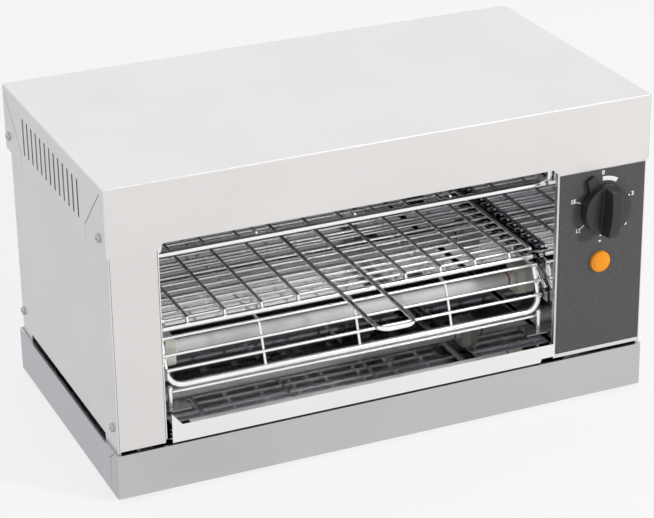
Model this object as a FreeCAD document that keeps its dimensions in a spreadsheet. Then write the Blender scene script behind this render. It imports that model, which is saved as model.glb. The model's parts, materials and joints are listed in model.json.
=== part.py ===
import FreeCAD, Part
import math
import os
import re

import Sketcher
from FreeCAD import Rotation, Vector

# Countertop sandwich toaster with quartz heating tubes above and below a sliding wire rack.
# X runs to the right, the open front faces -Y, Z is up, and the feet stand on Z = 0.
# The sheet metal is laid out about the middle of the hood. Every piece is then shifted along Y by
# frame_shift, so that the origin lies under the middle of the whole toaster, rack handle included.

# Driving dimensions: name, size in millimetres (or a count, or an angle), what it is
DRIVING = [
    ("hood_width", 440, "hood and base, side to side"),
    ("hood_depth", 240, "hood and base, front to back"),
    ("overall_height", 250, "table to the top of the hood"),
    ("band_height", 53, "skirt of the hood"),
    ("skin", 1.0, "outer sheet"),
    ("hood_bend", 2, "outside bend of the hood"),
    ("corner_tab", 42, "corner tab of the hood, along the side"),
    ("seam_gap", 0.5, "slit between two folded edges"),
    ("relief_rise", 4.7, "raised edge of the hood over the opening"),
    ("slot_count", 13, "vent slots in each side"),
    ("slot_pitch", 10.95, "vent slot spacing"),
    ("slot_width", 3, "vent slot width"),
    ("slot_length", 29.5, "vent slot height"),
    ("slot_edge", 11, "vent slots above the lower edge of the hood"),
    ("slot_start", 56.5, "first vent slot behind the front of the hood"),
    ("foot_height", 4, "rubber foot below the base"),
    ("foot_diameter", 24, "rubber foot"),
    ("foot_underside", 20.4, "rubber foot where it stands"),
    ("foot_recess", 8, "recess for the foot's screw"),
    ("foot_roof", 1, "rubber above the recess"),
    ("foot_head", 6.6, "head of the foot's screw"),
    ("foot_head_height", 1.8, "head of the foot's screw"),
    ("foot_nut_height", 3, "nut of the foot's screw"),
    ("foot_thread", 5, "foot's screw above the base"),
    ("foot_inset", 16.5, "foot centre from the sides of the base"),
    ("base_skirt", 35.5, "skirt of the base"),
    ("base_bend", 2, "outside bend of the base"),
    ("hem_depth", 6, "folded hem of the base"),
    ("base_slot_count", 6, "air slots in the base plate"),
    ("base_slot_length", 60, "air slot length"),
    ("base_slot_width", 4, "air slot width"),
    ("base_slot_pitch", 14, "air slot spacing"),
    ("panel_inset", 2.2, "side panel behind the face of the hood"),
    ("sheet_gap", 0.3, "clearance between neighbouring sheets"),
    ("notch_rise", 5.5, "side panel edge above the base"),
    ("notch_front", 29.5, "side panel notch behind the front"),
    ("notch_back", 29, "side panel notch before the back"),
    ("panel_flange", 12, "rear flange of the side panel"),
    ("rear_inset", 5, "rear panel before the back of the hood"),
    ("louvre_count", 5, "air slots in the rear panel"),
    ("louvre_pitch", 12, "rear air slot spacing"),
    ("louvre_length", 160, "rear air slot length"),
    ("louvre_width", 4, "rear air slot width"),
    ("frame_setback", 1.3, "front frame behind the face of the hood"),
    ("frame_flange", 7, "side flange of the front frame"),
    ("pillar_width", 39, "left pillar, from the side of the hood"),
    ("control_width", 79, "right column, from the side of the hood"),
    ("sill_gap", 2.5, "pillar above the base"),
    ("head_height", 46, "opening head below the top of the hood"),
    ("return_depth", 4, "folded edge of the opening"),
    ("fascia_sheet", 0.8, "control panel plate"),
    ("fascia_margin", 2, "bare frame left beside the control panel"),
    ("fascia_rise", 3.5, "panel film above the lower edge of the frame"),
    ("panel_clearance", 0.6, "panel holes round the shaft and the lamp, on the radius"),
    ("wall_sheet", 0.8, "sheet of the heating chamber"),
    ("wall_left_reveal", 2.8, "left chamber wall inside the opening edge"),
    ("wall_right_reveal", 1.2, "right chamber wall outside the opening edge"),
    ("wall_front", 6, "chamber walls behind the front of the hood"),
    ("chamber_back", 207, "rear wall behind the front of the hood"),
    ("chamber_roof", 22, "chamber roof below the top of the hood"),
    ("roof_slope", 20, "slanted upper rear corner of the chamber"),
    ("wall_flange", 9, "foot flange of the chamber walls"),
    ("shelf_rise", 2.7, "tray shelf above the base skirt"),
    ("shelf_overhang", 11, "tray shelf beyond the chamber walls"),
    ("shelf_foot", 8, "foot flange of the tray shelf"),
    ("tray_sheet", 0.8, "crumb tray sheet"),
    ("tray_side_gap", 2.2, "crumb tray to the chamber wall"),
    ("tray_back_gap", 3, "crumb tray to the rear wall"),
    ("tray_lift", 0.3, "crumb tray above the shelf"),
    ("tray_wall", 12.7, "crumb tray depth"),
    ("lip_drop", 1.2, "lip below the tray floor"),
    ("lip_reach", 4, "lip ahead of the tray wall"),
    ("ear_width", 8, "raised corner of the lip"),
    ("ear_rise", 10, "raised corner above the lip"),
    ("lip_notch_width", 11, "notch under the right end of the lip"),
    ("lip_notch_rise", 3, "notch height"),
    ("rack_level", 122, "axis of the rack's cross wires"),
    ("rack_side_gap", 6.7, "mean gap from the cross wires to the chamber walls"),
    ("rack_offset", 1.5, "rack to the right of the chamber's middle"),
    ("rack_wire", 2.6, "cross wire"),
    ("rack_long_wire", 2.8, "wire from front to back"),
    ("rack_front_bar", 4.5, "front bar of the rack"),
    ("rack_handle_wire", 3.4, "handle wire"),
    ("rack_wire_count", 15, "cross wires"),
    ("rack_wire_pitch", 11.6, "cross wire spacing"),
    ("rack_front", 31.5, "front bar behind the front of the hood"),
    ("rack_long_pitch", 29.6, "long wire spacing"),
    ("rack_long_count", 10, "long wires, the handle's two arms among them"),
    ("rack_end_inset", 1.8, "side wire from the ends of the cross wires"),
    ("rack_bend", 3.5, "bend of the long wires at the front bar"),
    ("handle_reach", 52, "handle ahead of the front of the hood"),
    ("handle_corner", 9, "bend of the handle's end"),
    ("rail_width", 11, "rack rail flange"),
    ("rail_drop", 10, "rack rail web"),
    ("rail_gap", 0.3, "rack above its rail"),
    ("guard_rod", 4.5, "frame rod of a guard"),
    ("guard_wire", 2.4, "wire of a guard"),
    ("guard_side_gap", 6, "middle of the lower guard's side rods to the chamber walls"),
    ("guard_level", 112, "axis of the lower guard's top"),
    ("guard_low", 79, "axis of the lower guard's front rod"),
    ("guard_front", 27.5, "lower guard's upper bend behind the front"),
    ("guard_toe", 16, "lower guard's front rod behind the front"),
    ("guard_bend", 8, "bend of the guard's shoulder"),
    ("guard_corner", 12, "bend of the guard's corner"),
    ("guard_bays", 4, "bays between the guard's long wires"),
    ("guard_wire_pitch", 25, "top wire spacing of a guard"),
    ("guard_wire_count", 7, "top wires of a guard"),
    ("guard_overhang", 2.2, "guard wires beyond the middle of the frame rod"),
    ("slope_wire_drop", 11.5, "first wire down the guard's slope, from the bend"),
    ("slope_wire_pitch", 11, "wire spacing down the guard's slope"),
    ("guard_foot_length", 19, "foot below the guard's front rod"),
    ("guard_foot_rod", 4, "foot of a guard"),
    ("guard_foot_inset", 1.3, "foot inside the middle of the frame's side rod"),
    ("guard_tie_drop", 6.4, "tie wire between the feet, below the front rod"),
    ("guard_tie_wire", 3, "tie wire between the feet"),
    ("guard_stay_rod", 3, "stay from the guard to the chamber wall"),
    ("upper_guard_side_gap", 2.7, "middle of the upper guard's side rods to the walls"),
    ("upper_guard_level", 187, "axis of the upper guard"),
    ("upper_guard_front", 22, "upper guard's front rod behind the front"),
    ("upper_guard_hook", 12, "upper guard's upturned ends behind the front"),
    ("upper_hook_rise", 11, "upturned end above the guard"),
    ("ledge_reach", 21, "bracket ledge, from the chamber wall"),
    ("ledge_depth", 16, "bracket ledge, front to back"),
    ("ledge_rise", 63, "bracket ledge above the table"),
    ("bracket_leg", 6, "bracket leg on the wall"),
    ("clip_setback", 9, "stay clip behind the front"),
    ("clip_width", 10, "stay clip, front to back"),
    ("clip_height", 8, "stay clip, bottom to top"),
    ("clip_reach", 3.4, "stay clip, from the chamber wall"),
    ("clip_rise", 88, "stay clip above the table"),
    ("stay_start", 3.5, "top of the stay behind the guard's upper bend"),
    ("tube_diameter", 11, "quartz tube"),
    ("tube_wall", 1.2, "quartz tube wall"),
    ("tube_low", 88, "lower tubes' axis"),
    ("tube_high", 211, "upper tubes' axis"),
    ("tube_front", 60, "front tubes behind the front of the hood"),
    ("tube_spacing", 94, "front tube to rear tube"),
    ("tube_left_end", 20.2, "tube end to the left chamber wall"),
    ("tube_right_end", 2.2, "tube end to the right chamber wall"),
    ("coil_diameter", 6, "heating coil inside a tube"),
    ("cap_length", 34, "ceramic end cap"),
    ("cap_depth", 19, "ceramic end cap, front to back"),
    ("cap_height", 22, "ceramic end cap, bottom to top"),
    ("cap_overlap", 5, "tube inside its cap"),
    ("cap_groove", 1.6, "grooves round a cap"),
    ("cap_groove_pitch", 8, "groove spacing from the cap's mouth"),
    ("cap_clearance", 0.3, "cap in its wall hole, tube in its cap"),
    ("pin_diameter", 4, "tube terminal pin"),
    ("pin_reach", 12, "terminal pin beyond its cap"),
    ("nut_across", 7, "terminal nut across flats"),
    ("nut_height", 3.2, "terminal nut"),
    ("strip_width", 9, "linking strip"),
    ("strip_sheet", 0.8, "linking strip"),
    ("dial_drop", 86, "knob axis below the top of the hood"),
    ("dial_inset", 39.7, "knob axis from the right side"),
    ("lamp_drop", 45.4, "lamp axis below the knob axis"),
    ("lamp_offset", 1.3, "lamp axis left of the knob axis"),
    ("lamp_diameter", 17.5, "lamp lens"),
    ("lamp_stem", 12, "lamp body"),
    ("lamp_length", 26, "lamp body behind the panel"),
    ("lamp_tip", 2, "tapered end of the lamp body"),
    ("lens_rise", 4, "lens ahead of the panel"),
    ("lens_flat", 11, "flat front of the lens"),
    ("lens_shoulder", 14.5, "lens at the shoulder of its edge"),
    ("lens_rim", 1.4, "straight edge of the lens"),
    ("clip_play", 0.15, "lamp body inside its clip, on the radius"),
    ("clip_wall", 2.85, "wall of the lamp clip"),
    ("clip_sheet", 2.5, "lamp clip, along the lamp"),
    ("shaft_diameter", 6, "timer shaft"),
    ("shaft_clearance", 0.05, "shaft running clearance, on the radius"),
    ("knob_diameter", 39.5, "knob at the panel"),
    ("knob_front_diameter", 35, "knob at its front"),
    ("knob_height", 28, "knob"),
    ("knob_cap", 9, "solid front of the knob, ahead of its bore"),
    ("knob_skirt", 4, "straight skirt of the knob"),
    ("knob_bevel", 2, "bevel round the knob's front"),
    ("knob_gap", 0.7, "knob ahead of the panel"),
    ("grip_width", 9.4, "grip of the knob"),
    ("grip_depth", 16.5, "flanks cut from the knob's front"),
    ("pointer_angle", 27, "pointer left of the top, in degrees"),
    ("pointer_root", 12, "width of the pointer at the knob"),
    ("pointer_tip", 7, "width of the pointer at its end"),
    ("pointer_reach", 9.5, "pointer beyond the skirt"),
    ("pointer_sheet", 3.5, "pointer thickness"),
    ("timer_width", 40, "timer case"),
    ("timer_depth", 30, "timer case"),
    ("timer_tab_spacing", 18, "timer tabs, side to side"),
    ("timer_tab_drop", 12, "timer tabs below the shaft"),
    ("timer_tab_width", 6.4, "timer tab"),
    ("timer_tab_sheet", 0.8, "timer tab"),
    ("timer_tab_length", 8, "timer tab"),
    ("shaft_length", 15, "shaft inside the timer case"),
    ("timer_plate", 46, "timer mounting plate"),
    ("timer_plate_sheet", 1.5, "timer mounting plate"),
    ("screw_head", 7, "pan head"),
    ("screw_head_height", 2.2, "pan head, height"),
    ("screw_head_rim", 0.9, "straight edge of the pan head"),
    ("screw_head_flat", 4.5, "flat top of the pan head"),
    ("screw_shank", 3.9, "screw shank"),
    ("screw_hole", 4.2, "clearance hole"),
    ("screw_length", 9, "screw shank length"),
    ("side_screw_front", 12, "side screws behind the front"),
    ("side_screw_back", 9.5, "side screws before the back"),
    ("side_screw_top", 41, "upper side screws below the top"),
    ("side_screw_low", 58, "lower side screws above the table"),
    ("gland_diameter", 20, "cable gland flange"),
    ("gland_dome", 14.4, "cable gland at its mouth"),
    ("gland_neck", 13.6, "cable gland inside the panel"),
    ("gland_bore", 9, "cable gland bore"),
    ("gland_flange", 2.5, "cable gland flange, thickness"),
    ("gland_rise", 5, "cable gland outside the panel"),
    ("gland_depth", 12, "cable gland inside the panel, length"),
    ("gland_nut_across", 19, "cable gland nut, across flats"),
    ("gland_nut_height", 4, "cable gland nut"),
    ("gland_inset", 50, "cable gland from the right side"),
    ("gland_level", 70, "cable gland above the table"),
    ("block_length", 44, "terminal block"),
    ("block_gap", 3, "terminal block beside the tray shelf's foot"),
    ("block_depth", 20, "terminal block"),
    ("block_height", 18, "terminal block"),
    ("block_well", 5, "screw wells of the terminal block"),
    ("block_poles", 3, "poles of the terminal block"),
    ("block_well_inset", 5.6, "screw wells from the edges of the block"),
    ("block_back", 60, "terminal block before the rear panel"),
    ("stud_diameter", 5, "earth stud"),
    ("stud_length", 16, "earth stud"),
    ("stud_nut_across", 8, "earth nut, across flats"),
    ("stud_nut_height", 4, "earth nut"),
    ("stud_back", 85, "earth stud before the rear panel"),
]

# Derived places: name, formula over the names above
DERIVED = [
    ("half_width", "hood_width / 2"),
    ("half_depth", "hood_depth / 2"),
    ("front", "-hood_depth / 2"),
    ("frame_shift", "handle_reach / 2"),
    ("band_bottom", "overall_height - band_height"),
    ("base_top", "foot_height + base_skirt"),
    ("panel_outer", "half_width - panel_inset"),
    ("panel_inner", "panel_outer - skin"),
    ("frame_half", "panel_inner - sheet_gap"),
    ("frame_face", "front + frame_setback"),
    ("frame_back", "frame_face + skin"),
    ("shell_top", "overall_height - skin - sheet_gap"),
    ("stand_level", "foot_height + skin + sheet_gap"),
    ("rear_face", "half_depth - rear_inset"),
    ("opening_left", "-half_width + pillar_width"),
    ("opening_right", "half_width - control_width"),
    ("sill", "base_top + sill_gap"),
    ("head", "overall_height - head_height"),
    ("cavity_left", "opening_left + wall_left_reveal"),
    ("cavity_right", "opening_right + wall_right_reveal"),
    ("cavity_centre", "(cavity_left + cavity_right) / 2"),
    ("cavity_half", "(cavity_right - cavity_left) / 2"),
    ("rack_centre", "cavity_centre + rack_offset"),
    ("rack_half", "cavity_half - rack_side_gap"),
    ("guard_half", "cavity_half - guard_side_gap"),
    ("upper_guard_half", "cavity_half - upper_guard_side_gap"),
    ("cavity_front", "front + wall_front"),
    ("cavity_back", "front + chamber_back"),
    ("cavity_roof", "overall_height - chamber_roof"),
    ("shelf_level", "base_top + shelf_rise"),
    ("wall_foot", "shelf_level + wall_sheet"),
    ("tray_floor", "shelf_level + tray_lift"),
    ("tray_top", "tray_floor + tray_wall"),
    ("tray_left", "cavity_left + tray_side_gap"),
    ("tray_right", "cavity_right - tray_side_gap"),
    ("tray_front", "front + lip_reach"),
    ("tray_back", "cavity_back - tray_back_gap"),
    ("lip_bottom", "tray_floor - lip_drop"),
    ("lip_left", "tray_left"),
    ("lip_right", "opening_right + 0.5 * sheet_gap"),
    ("rack_front_y", "front + rack_front"),
    ("rack_long_level", "rack_level + (rack_wire + rack_long_wire) / 2"),
    ("handle_level", "rack_level + (rack_wire + rack_handle_wire) / 2"),
    ("rack_stub_foot", "rack_level - rack_wire / 2"),
    ("rack_bar_level", "rack_stub_foot - rack_front_bar / 2"),
    ("rack_first_wire", "rack_front_y + rack_bend + rack_wire"),
    ("rack_back", "rack_first_wire + (rack_wire_count - 1) * rack_wire_pitch + rack_wire / 2"),
    ("rail_top", "rack_level - rack_wire / 2 - rail_gap"),
    ("tube_front_y", "front + tube_front"),
    ("tube_rear_y", "tube_front_y + tube_spacing"),
    ("tube_left", "cavity_left + tube_left_end"),
    ("tube_right", "cavity_right - tube_right_end"),
    ("left_cap", "tube_left + cap_overlap - cap_length"),
    ("right_cap", "tube_right - cap_overlap"),
    ("dial_x", "half_width - dial_inset"),
    ("dial_z", "overall_height - dial_drop"),
    ("lamp_x", "dial_x - lamp_offset"),
    ("lamp_z", "dial_z - lamp_drop"),
    ("fascia_face", "frame_face - fascia_sheet"),
    ("knob_back", "fascia_face - knob_gap"),
    ("knob_front", "knob_back - knob_height"),
    ("side_screw_y", "front + side_screw_front"),
    ("side_screw_rear_y", "half_depth - side_screw_back"),
    ("side_screw_high", "overall_height - side_screw_top"),
    ("gland_x", "half_width - gland_inset"),
]

doc = FreeCAD.newDocument("sandwich_toaster")
sizes = doc.addObject("Spreadsheet::Sheet", "Sizes")
places = doc.addObject("Spreadsheet::Sheet", "Places")
home = {}
WORD = re.compile(r"[A-Za-z_]\w*")


def link(formula):
    """The formula with each name tied to the cell that holds it."""
    return WORD.sub(lambda word: home.get(word.group(0), "") + word.group(0), str(formula))


for row, (name, size, note) in enumerate(DRIVING, 1):
    sizes.set(f"A{row}", note)
    sizes.set(f"B{row}", str(size))
    sizes.setAlias(f"B{row}", name)
    home[name] = "Sizes."
doc.recompute()
for row, (name, formula) in enumerate(DERIVED, 1):
    places.set(f"A{row}", formula)
    places.set(f"B{row}", "=" + link(formula).replace("Places.", ""))
    places.setAlias(f"B{row}", name)
    home[name] = "Places."
doc.recompute()


class Values:
    """The sizes and places as plain numbers."""


v = Values()
for name in home:
    sheet = sizes if home[name] == "Sizes." else places
    setattr(v, name, float(sheet.get(name)))

subparts = []


# Sketches, pads and pockets


def new_body(label):
    body = doc.addObject("PartDesign::Body", label)
    body.Label = label
    body.setExpression("Placement.Base.y", link("frame_shift"))
    subparts.append(body)
    return body


def plane_of(body, role):
    for feature in body.Origin.OriginFeatures:
        if feature.Role == role:
            return feature
    raise ValueError(role)


def new_sketch(body, name, role, level):
    """A sketch on an origin plane, moved to level along that plane's axis."""
    sketch = body.newObject("Sketcher::SketchObject", name)
    sketch.AttachmentSupport = (plane_of(body, role), [""])
    sketch.MapMode = "FlatFace"
    sign = "-" if role == "XZ_Plane" else ""
    sketch.setExpression("AttachmentOffset.Base.z", f"{sign}({link(level)})")
    return sketch


def place_point(sketch, curve, point, across, up):
    """Ties a point of a curve to two formulas, measured from the sketch's origin."""
    for kind, formula in (("DistanceX", across), ("DistanceY", up)):
        index = sketch.addConstraint(Sketcher.Constraint(kind, -1, 1, curve, point, 1.0))
        name = f"{kind}_{curve}_{point}"
        sketch.renameConstraint(index, name)
        sketch.setExpression("Constraints." + name, link(formula))


def draw_outline(sketch, corners):
    """A closed outline of straight edges through corners given as formulas."""
    first = sketch.GeometryCount
    count = len(corners)
    for i in range(count):
        start = Vector(i, 0.1 * i * i, 0)
        end = Vector(i + 1, 0.1 * (i + 1) ** 2, 0)
        sketch.addGeometry(Part.LineSegment(start, end), False)
    for i in range(count):
        following = first + (i + 1) % count
        sketch.addConstraint(Sketcher.Constraint("Coincident", first + i, 2, following, 1))
    for i, (across, up) in enumerate(corners):
        place_point(sketch, first + i, 1, across, up)


def draw_circle(sketch, across, up, diameter):
    circle = sketch.addGeometry(Part.Circle(Vector(0, 0, 0), Vector(0, 0, 1), 1.0), False)
    place_point(sketch, circle, 3, across, up)
    index = sketch.addConstraint(Sketcher.Constraint("Diameter", circle, 2.0))
    sketch.renameConstraint(index, f"Diameter_{circle}")
    sketch.setExpression(f"Constraints.Diameter_{circle}", link(diameter))


def draw(sketch, shapes):
    for shape in shapes:
        if isinstance(shape, list):
            draw_outline(sketch, shape)
        else:
            draw_circle(sketch, *shape)


def box_outline(left, right, low, high):
    return [(left, low), (right, low), (right, high), (left, high)]


def square_outline(across, up, side):
    """A square about a point, as for a screw that passes into a clip nut."""
    half = f"{side} / 2"
    return box_outline(
        f"{across} - {half}", f"{across} + {half}", f"{up} - {half}", f"{up} + {half}"
    )


def volume_of(body):
    doc.recompute()
    return body.Shape.Volume


def extrude(kind, body, name, role, low, high, shapes):
    """A pad or pocket that fills low to high along the axis of the sketch's plane."""
    before = volume_of(body) if body.Tip else 0.0
    level = high if role == "XZ_Plane" else low
    sketch = new_sketch(body, name + "_sketch", role, level)
    draw(sketch, shapes)
    feature = body.newObject("PartDesign::" + kind, name)
    feature.Profile = sketch
    feature.setExpression("Length", link(f"({high}) - ({low})"))
    feature.Reversed = kind == "Pocket"
    after = volume_of(body)
    if (after > before) != (kind == "Pad") or abs(after - before) < 0.01:
        raise ValueError(f"{body.Label}: {name} changes the volume from {before} to {after}")
    return feature


def pad(body, name, role, low, high, shapes):
    return extrude("Pad", body, name, role, low, high, shapes)


def pocket(body, name, role, low, high, shapes):
    return extrude("Pocket", body, name, role, low, high, shapes)


def repeat(body, feature, axis, pitch, count):
    """Copies of a feature along an axis of its own sketch."""
    pattern = body.newObject("PartDesign::LinearPattern", feature.Name + "_row")
    pattern.Originals = [feature]
    pattern.Direction = (feature.Profile[0], [axis])
    pattern.Mode = "Spacing"
    pattern.setExpression("Offset", link(pitch))
    pattern.setExpression("Occurrences", link(count))
    body.Tip = pattern
    doc.recompute()
    return pattern


def round_edges(body, name, radius, chosen):
    """A fillet on each edge whose bounding box passes the test."""
    doc.recompute()
    base = body.Tip
    edges = [f"Edge{i}" for i, edge in enumerate(base.Shape.Edges, 1) if chosen(edge.BoundBox)]
    fillet = body.newObject("PartDesign::Fillet", name)
    fillet.Base = (base, edges)
    fillet.setExpression("Radius", link(radius))
    doc.recompute()
    return fillet


def hollow(body, name, wall, chosen):
    """A shell with the chosen face left open."""
    base = body.Tip
    faces = [f"Face{i}" for i, face in enumerate(base.Shape.Faces, 1) if chosen(face.BoundBox)]
    shell = body.newObject("PartDesign::Thickness", name)
    shell.Base = (base, faces)
    shell.Reversed = True
    shell.setExpression("Value", link(wall))
    doc.recompute()
    return shell


def near(a, b):
    return abs(a - b) < 0.01


# Wires and other repeated pieces: many-sided solids, and groups of like solids

WIRE_SIDES = 8
TUBE_SIDES = 16
TURNED_SIDES = 16
FASTENER_SIDES = 10


def keep_shape(label, solids):
    """A sub-part that holds one or more solids."""
    feature = doc.addObject("Part::Feature", label)
    feature.Label = label
    feature.Shape = Part.makeCompound(solids)
    feature.Placement = FreeCAD.Placement(Vector(0, v.frame_shift, 0), Rotation())
    subparts.append(feature)
    return feature


def ring(centre, axis, flat, diameter, sides):
    """A regular polygon across axis with one flat turned towards the direction flat."""
    across = Vector(*axis).normalize().cross(Vector(*flat)).normalize()
    up = across.cross(Vector(*axis)).normalize()
    radius = diameter / 2 / math.cos(math.pi / sides)
    corners = []
    for i in range(sides):
        angle = 2 * math.pi * (i + 0.5) / sides
        reach = up * radius * math.cos(angle) + across * radius * math.sin(angle)
        corners.append(Vector(*centre) + reach)
    return Part.makePolygon(corners + corners[:1])


def rod(start, end, diameter, flat=(0, 0, 1), sides=WIRE_SIDES):
    """A straight wire, as wide across its flats as the diameter."""
    run = Vector(*end) - Vector(*start)
    return Part.Face(ring(start, run, flat, diameter, sides)).extrude(run)


def bent_rod(points, bend_radii, diameter, flat=(0, 0, 1), sides=WIRE_SIDES):
    """A wire along straight runs joined by tangent arcs, one radius for each inner point."""
    points = [Vector(*point) for point in points]
    edges = []
    last = points[0]
    for before, corner, after, radius in zip(points, points[1:], points[2:], bend_radii):
        inward = (before - corner).normalize()
        outward = (after - corner).normalize()
        half_angle = inward.getAngle(outward) / 2
        reach = radius / math.tan(half_angle)
        bisector = (inward + outward).normalize()
        middle = corner + bisector * (radius / math.sin(half_angle) - radius)
        first = corner + inward * reach
        second = corner + outward * reach
        edges.append(Part.LineSegment(last, first).toShape())
        edges.append(Part.Arc(first, middle, second).toShape())
        last = second
    edges.append(Part.LineSegment(last, points[-1]).toShape())
    profile = ring(points[0], points[1] - points[0], flat, diameter, sides)
    return Part.Wire(edges).makePipeShell([profile], True, False)


def turned(profile, origin, axis, sides=TURNED_SIDES):
    """A many-sided turned solid; the profile lists (distance along the axis, radius)."""
    angles = [2 * math.pi * i / sides for i in range(sides)]
    rings = []
    for along, radius in profile:
        rings.append([Vector(radius * math.cos(a), radius * math.sin(a), along) for a in angles])
    faces = []
    for (_, radius), (_, next_radius), these, those in zip(
        profile, profile[1:] + profile[:1], rings, rings[1:] + rings[:1]
    ):
        if radius == 0 and next_radius == 0:
            continue
        if radius == 0 or next_radius == 0:
            rim = these if next_radius == 0 else those
            faces.append(Part.Face(Part.makePolygon(rim + rim[:1])))
            continue
        for i in range(sides):
            j = (i + 1) % sides
            corners = [these[i], these[j], those[j], those[i], these[i]]
            faces.append(Part.Face(Part.makePolygon(corners)))
    solid = Part.makeSolid(Part.makeShell(faces))
    if solid.Volume < 0:
        solid.reverse()
    solid.Placement = FreeCAD.Placement(Vector(*origin), Rotation(Vector(0, 0, 1), Vector(*axis)))
    return solid


def block(low, high):
    low = Vector(*low)
    size = Vector(*high) - low
    return Part.makeBox(size.x, size.y, size.z, low)


def screw(seat, direction):
    """A pan head screw whose head stands on seat and whose shank runs along direction."""
    profile = [
        (-v.screw_head_height, 0),
        (-v.screw_head_height, v.screw_head_flat / 2),
        (-v.screw_head_rim, v.screw_head / 2),
        (0, v.screw_head / 2),
        (0, v.screw_shank / 2),
        (v.screw_length, v.screw_shank / 2),
        (v.screw_length, 0),
    ]
    return turned(profile, seat, direction, FASTENER_SIDES)


def hexagon_nut(seat, axis, across, height, hole):
    """A nut or a bolt head that starts at seat and rises along axis."""
    top = Vector(*seat) + Vector(*axis) * height
    side = (0, 0, 1) if axis[2] == 0 else (0, 1, 0)
    nut = rod(seat, top, across, side, 6)
    if hole > 0:
        nut = nut.cut(rod(seat, top, hole, side, TURNED_SIDES))
    return nut


# Hood: one folded sheet with a skirt on all four sides


def make_hood():
    body = new_body("hood")
    plan = box_outline("-half_width", "half_width", "-half_depth", "half_depth")
    pad(body, "hood_block", "XY_Plane", "band_bottom", "overall_height", [plan])
    top = v.overall_height
    round_edges(
        body,
        "hood_bends",
        "hood_bend",
        lambda box: box.ZLength > v.band_height / 2 or near(box.ZMin, top),
    )
    inside = box_outline(
        "-half_width + skin", "half_width - skin", "-half_depth + skin", "half_depth - skin"
    )
    pocket(body, "hood_inside", "XY_Plane", "band_bottom", "overall_height - skin", [inside])
    raised = [
        ("opening_left", "band_bottom - skin"),
        ("opening_right", "band_bottom - skin"),
        ("opening_right", "band_bottom"),
        ("opening_right - relief_rise", "band_bottom + relief_rise"),
        ("opening_left + relief_rise", "band_bottom + relief_rise"),
        ("opening_left", "band_bottom"),
    ]
    pocket(body, "relief", "XZ_Plane", "front - skin", "front + 2 * skin", [raised])
    slot = box_outline(
        "front + slot_start - slot_width / 2",
        "front + slot_start + slot_width / 2",
        "band_bottom + slot_edge",
        "band_bottom + slot_edge + slot_length",
    )
    slots = pocket(body, "slot", "YZ_Plane", "-half_width - skin", "half_width + skin", [slot])
    repeat(body, slots, "H_Axis", "slot_pitch", "slot_count")
    for name, edge, inward in (("front", "front", "+"), ("rear", "half_depth", "-")):
        seam_y = f"{edge} {inward} corner_tab"
        start_y = f"{edge} {inward} 3 * hood_bend"
        seam_z = "overall_height - corner_tab"
        start_z = "overall_height - 3 * hood_bend"
        seam = [
            (seam_y, "band_bottom - skin"),
            (f"{seam_y} {inward} seam_gap", "band_bottom - skin"),
            (f"{seam_y} {inward} seam_gap", f"{seam_z} + seam_gap"),
            (f"{start_y} {inward} seam_gap", f"{start_z} + seam_gap"),
            (start_y, start_z),
            (seam_y, seam_z),
        ]
        pocket(body, name + "_seam", "YZ_Plane", "-half_width - skin", "half_width + skin", [seam])
    holes = [
        square_outline(y, "side_screw_high", "screw_hole")
        for y in ("side_screw_y", "side_screw_rear_y")
    ]
    pocket(body, "hood_holes", "YZ_Plane", "-half_width - skin", "half_width + skin", holes)


# Base: a shallow tray with hemmed skirts, under the whole toaster


def make_base():
    body = new_body("base_tray")
    plan = box_outline("-half_width", "half_width", "-half_depth", "half_depth")
    pad(body, "base_block", "XY_Plane", "foot_height", "base_top", [plan])
    round_edges(
        body,
        "base_bends",
        "base_bend",
        lambda box: box.ZLength > v.base_skirt / 2,
    )
    inside = box_outline(
        "-half_width + skin", "half_width - skin", "-half_depth + skin", "half_depth - skin"
    )
    pocket(body, "base_inside", "XY_Plane", "foot_height + skin", "base_top", [inside])
    hem = [
        box_outline("-half_width + skin", "half_width - skin", "front + skin", "half_depth - skin"),
        box_outline(
            "-half_width + 2 * skin",
            "half_width - 2 * skin",
            "front + 2 * skin",
            "half_depth - 2 * skin",
        ),
    ]
    pad(body, "hem", "XY_Plane", "base_top - hem_depth", "base_top", hem)
    slot = box_outline(
        "-base_slot_length / 2",
        "base_slot_length / 2",
        "-(base_slot_count - 1) * base_slot_pitch / 2 - base_slot_width / 2",
        "-(base_slot_count - 1) * base_slot_pitch / 2 + base_slot_width / 2",
    )
    slots = pocket(
        body, "air_slot", "XY_Plane", "foot_height - skin", "foot_height + 2 * skin", [slot]
    )
    repeat(body, slots, "V_Axis", "base_slot_pitch", "base_slot_count")
    across = "(half_width - foot_inset)"
    along = "(half_depth - foot_inset)"
    holes = [
        square_outline(f"{side} * {across}", f"{end} * {along}", "screw_hole")
        for side in (-1, 1)
        for end in (-1, 1)
    ]
    pocket(body, "foot_holes", "XY_Plane", "foot_height - skin", "foot_height + 2 * skin", holes)
    seam = [
        ("front + 7 * base_bend", "foot_height + 3 * base_bend"),
        ("front + 7 * base_bend + seam_gap", "foot_height + 3 * base_bend"),
        ("front + 7 * base_bend + seam_gap", "base_top - 3 * base_bend"),
        ("front + 2 * base_bend + seam_gap", "base_top + skin"),
        ("front + 2 * base_bend", "base_top + skin"),
        ("front + 7 * base_bend", "base_top - 3 * base_bend - seam_gap"),
    ]
    for side, low, high in (
        ("left", "-half_width - skin", "-half_width + skin"),
        ("right", "half_width - skin", "half_width + skin"),
    ):
        pocket(body, side + "_seam", "YZ_Plane", low, high, [seam])


# Sides and rear


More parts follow.
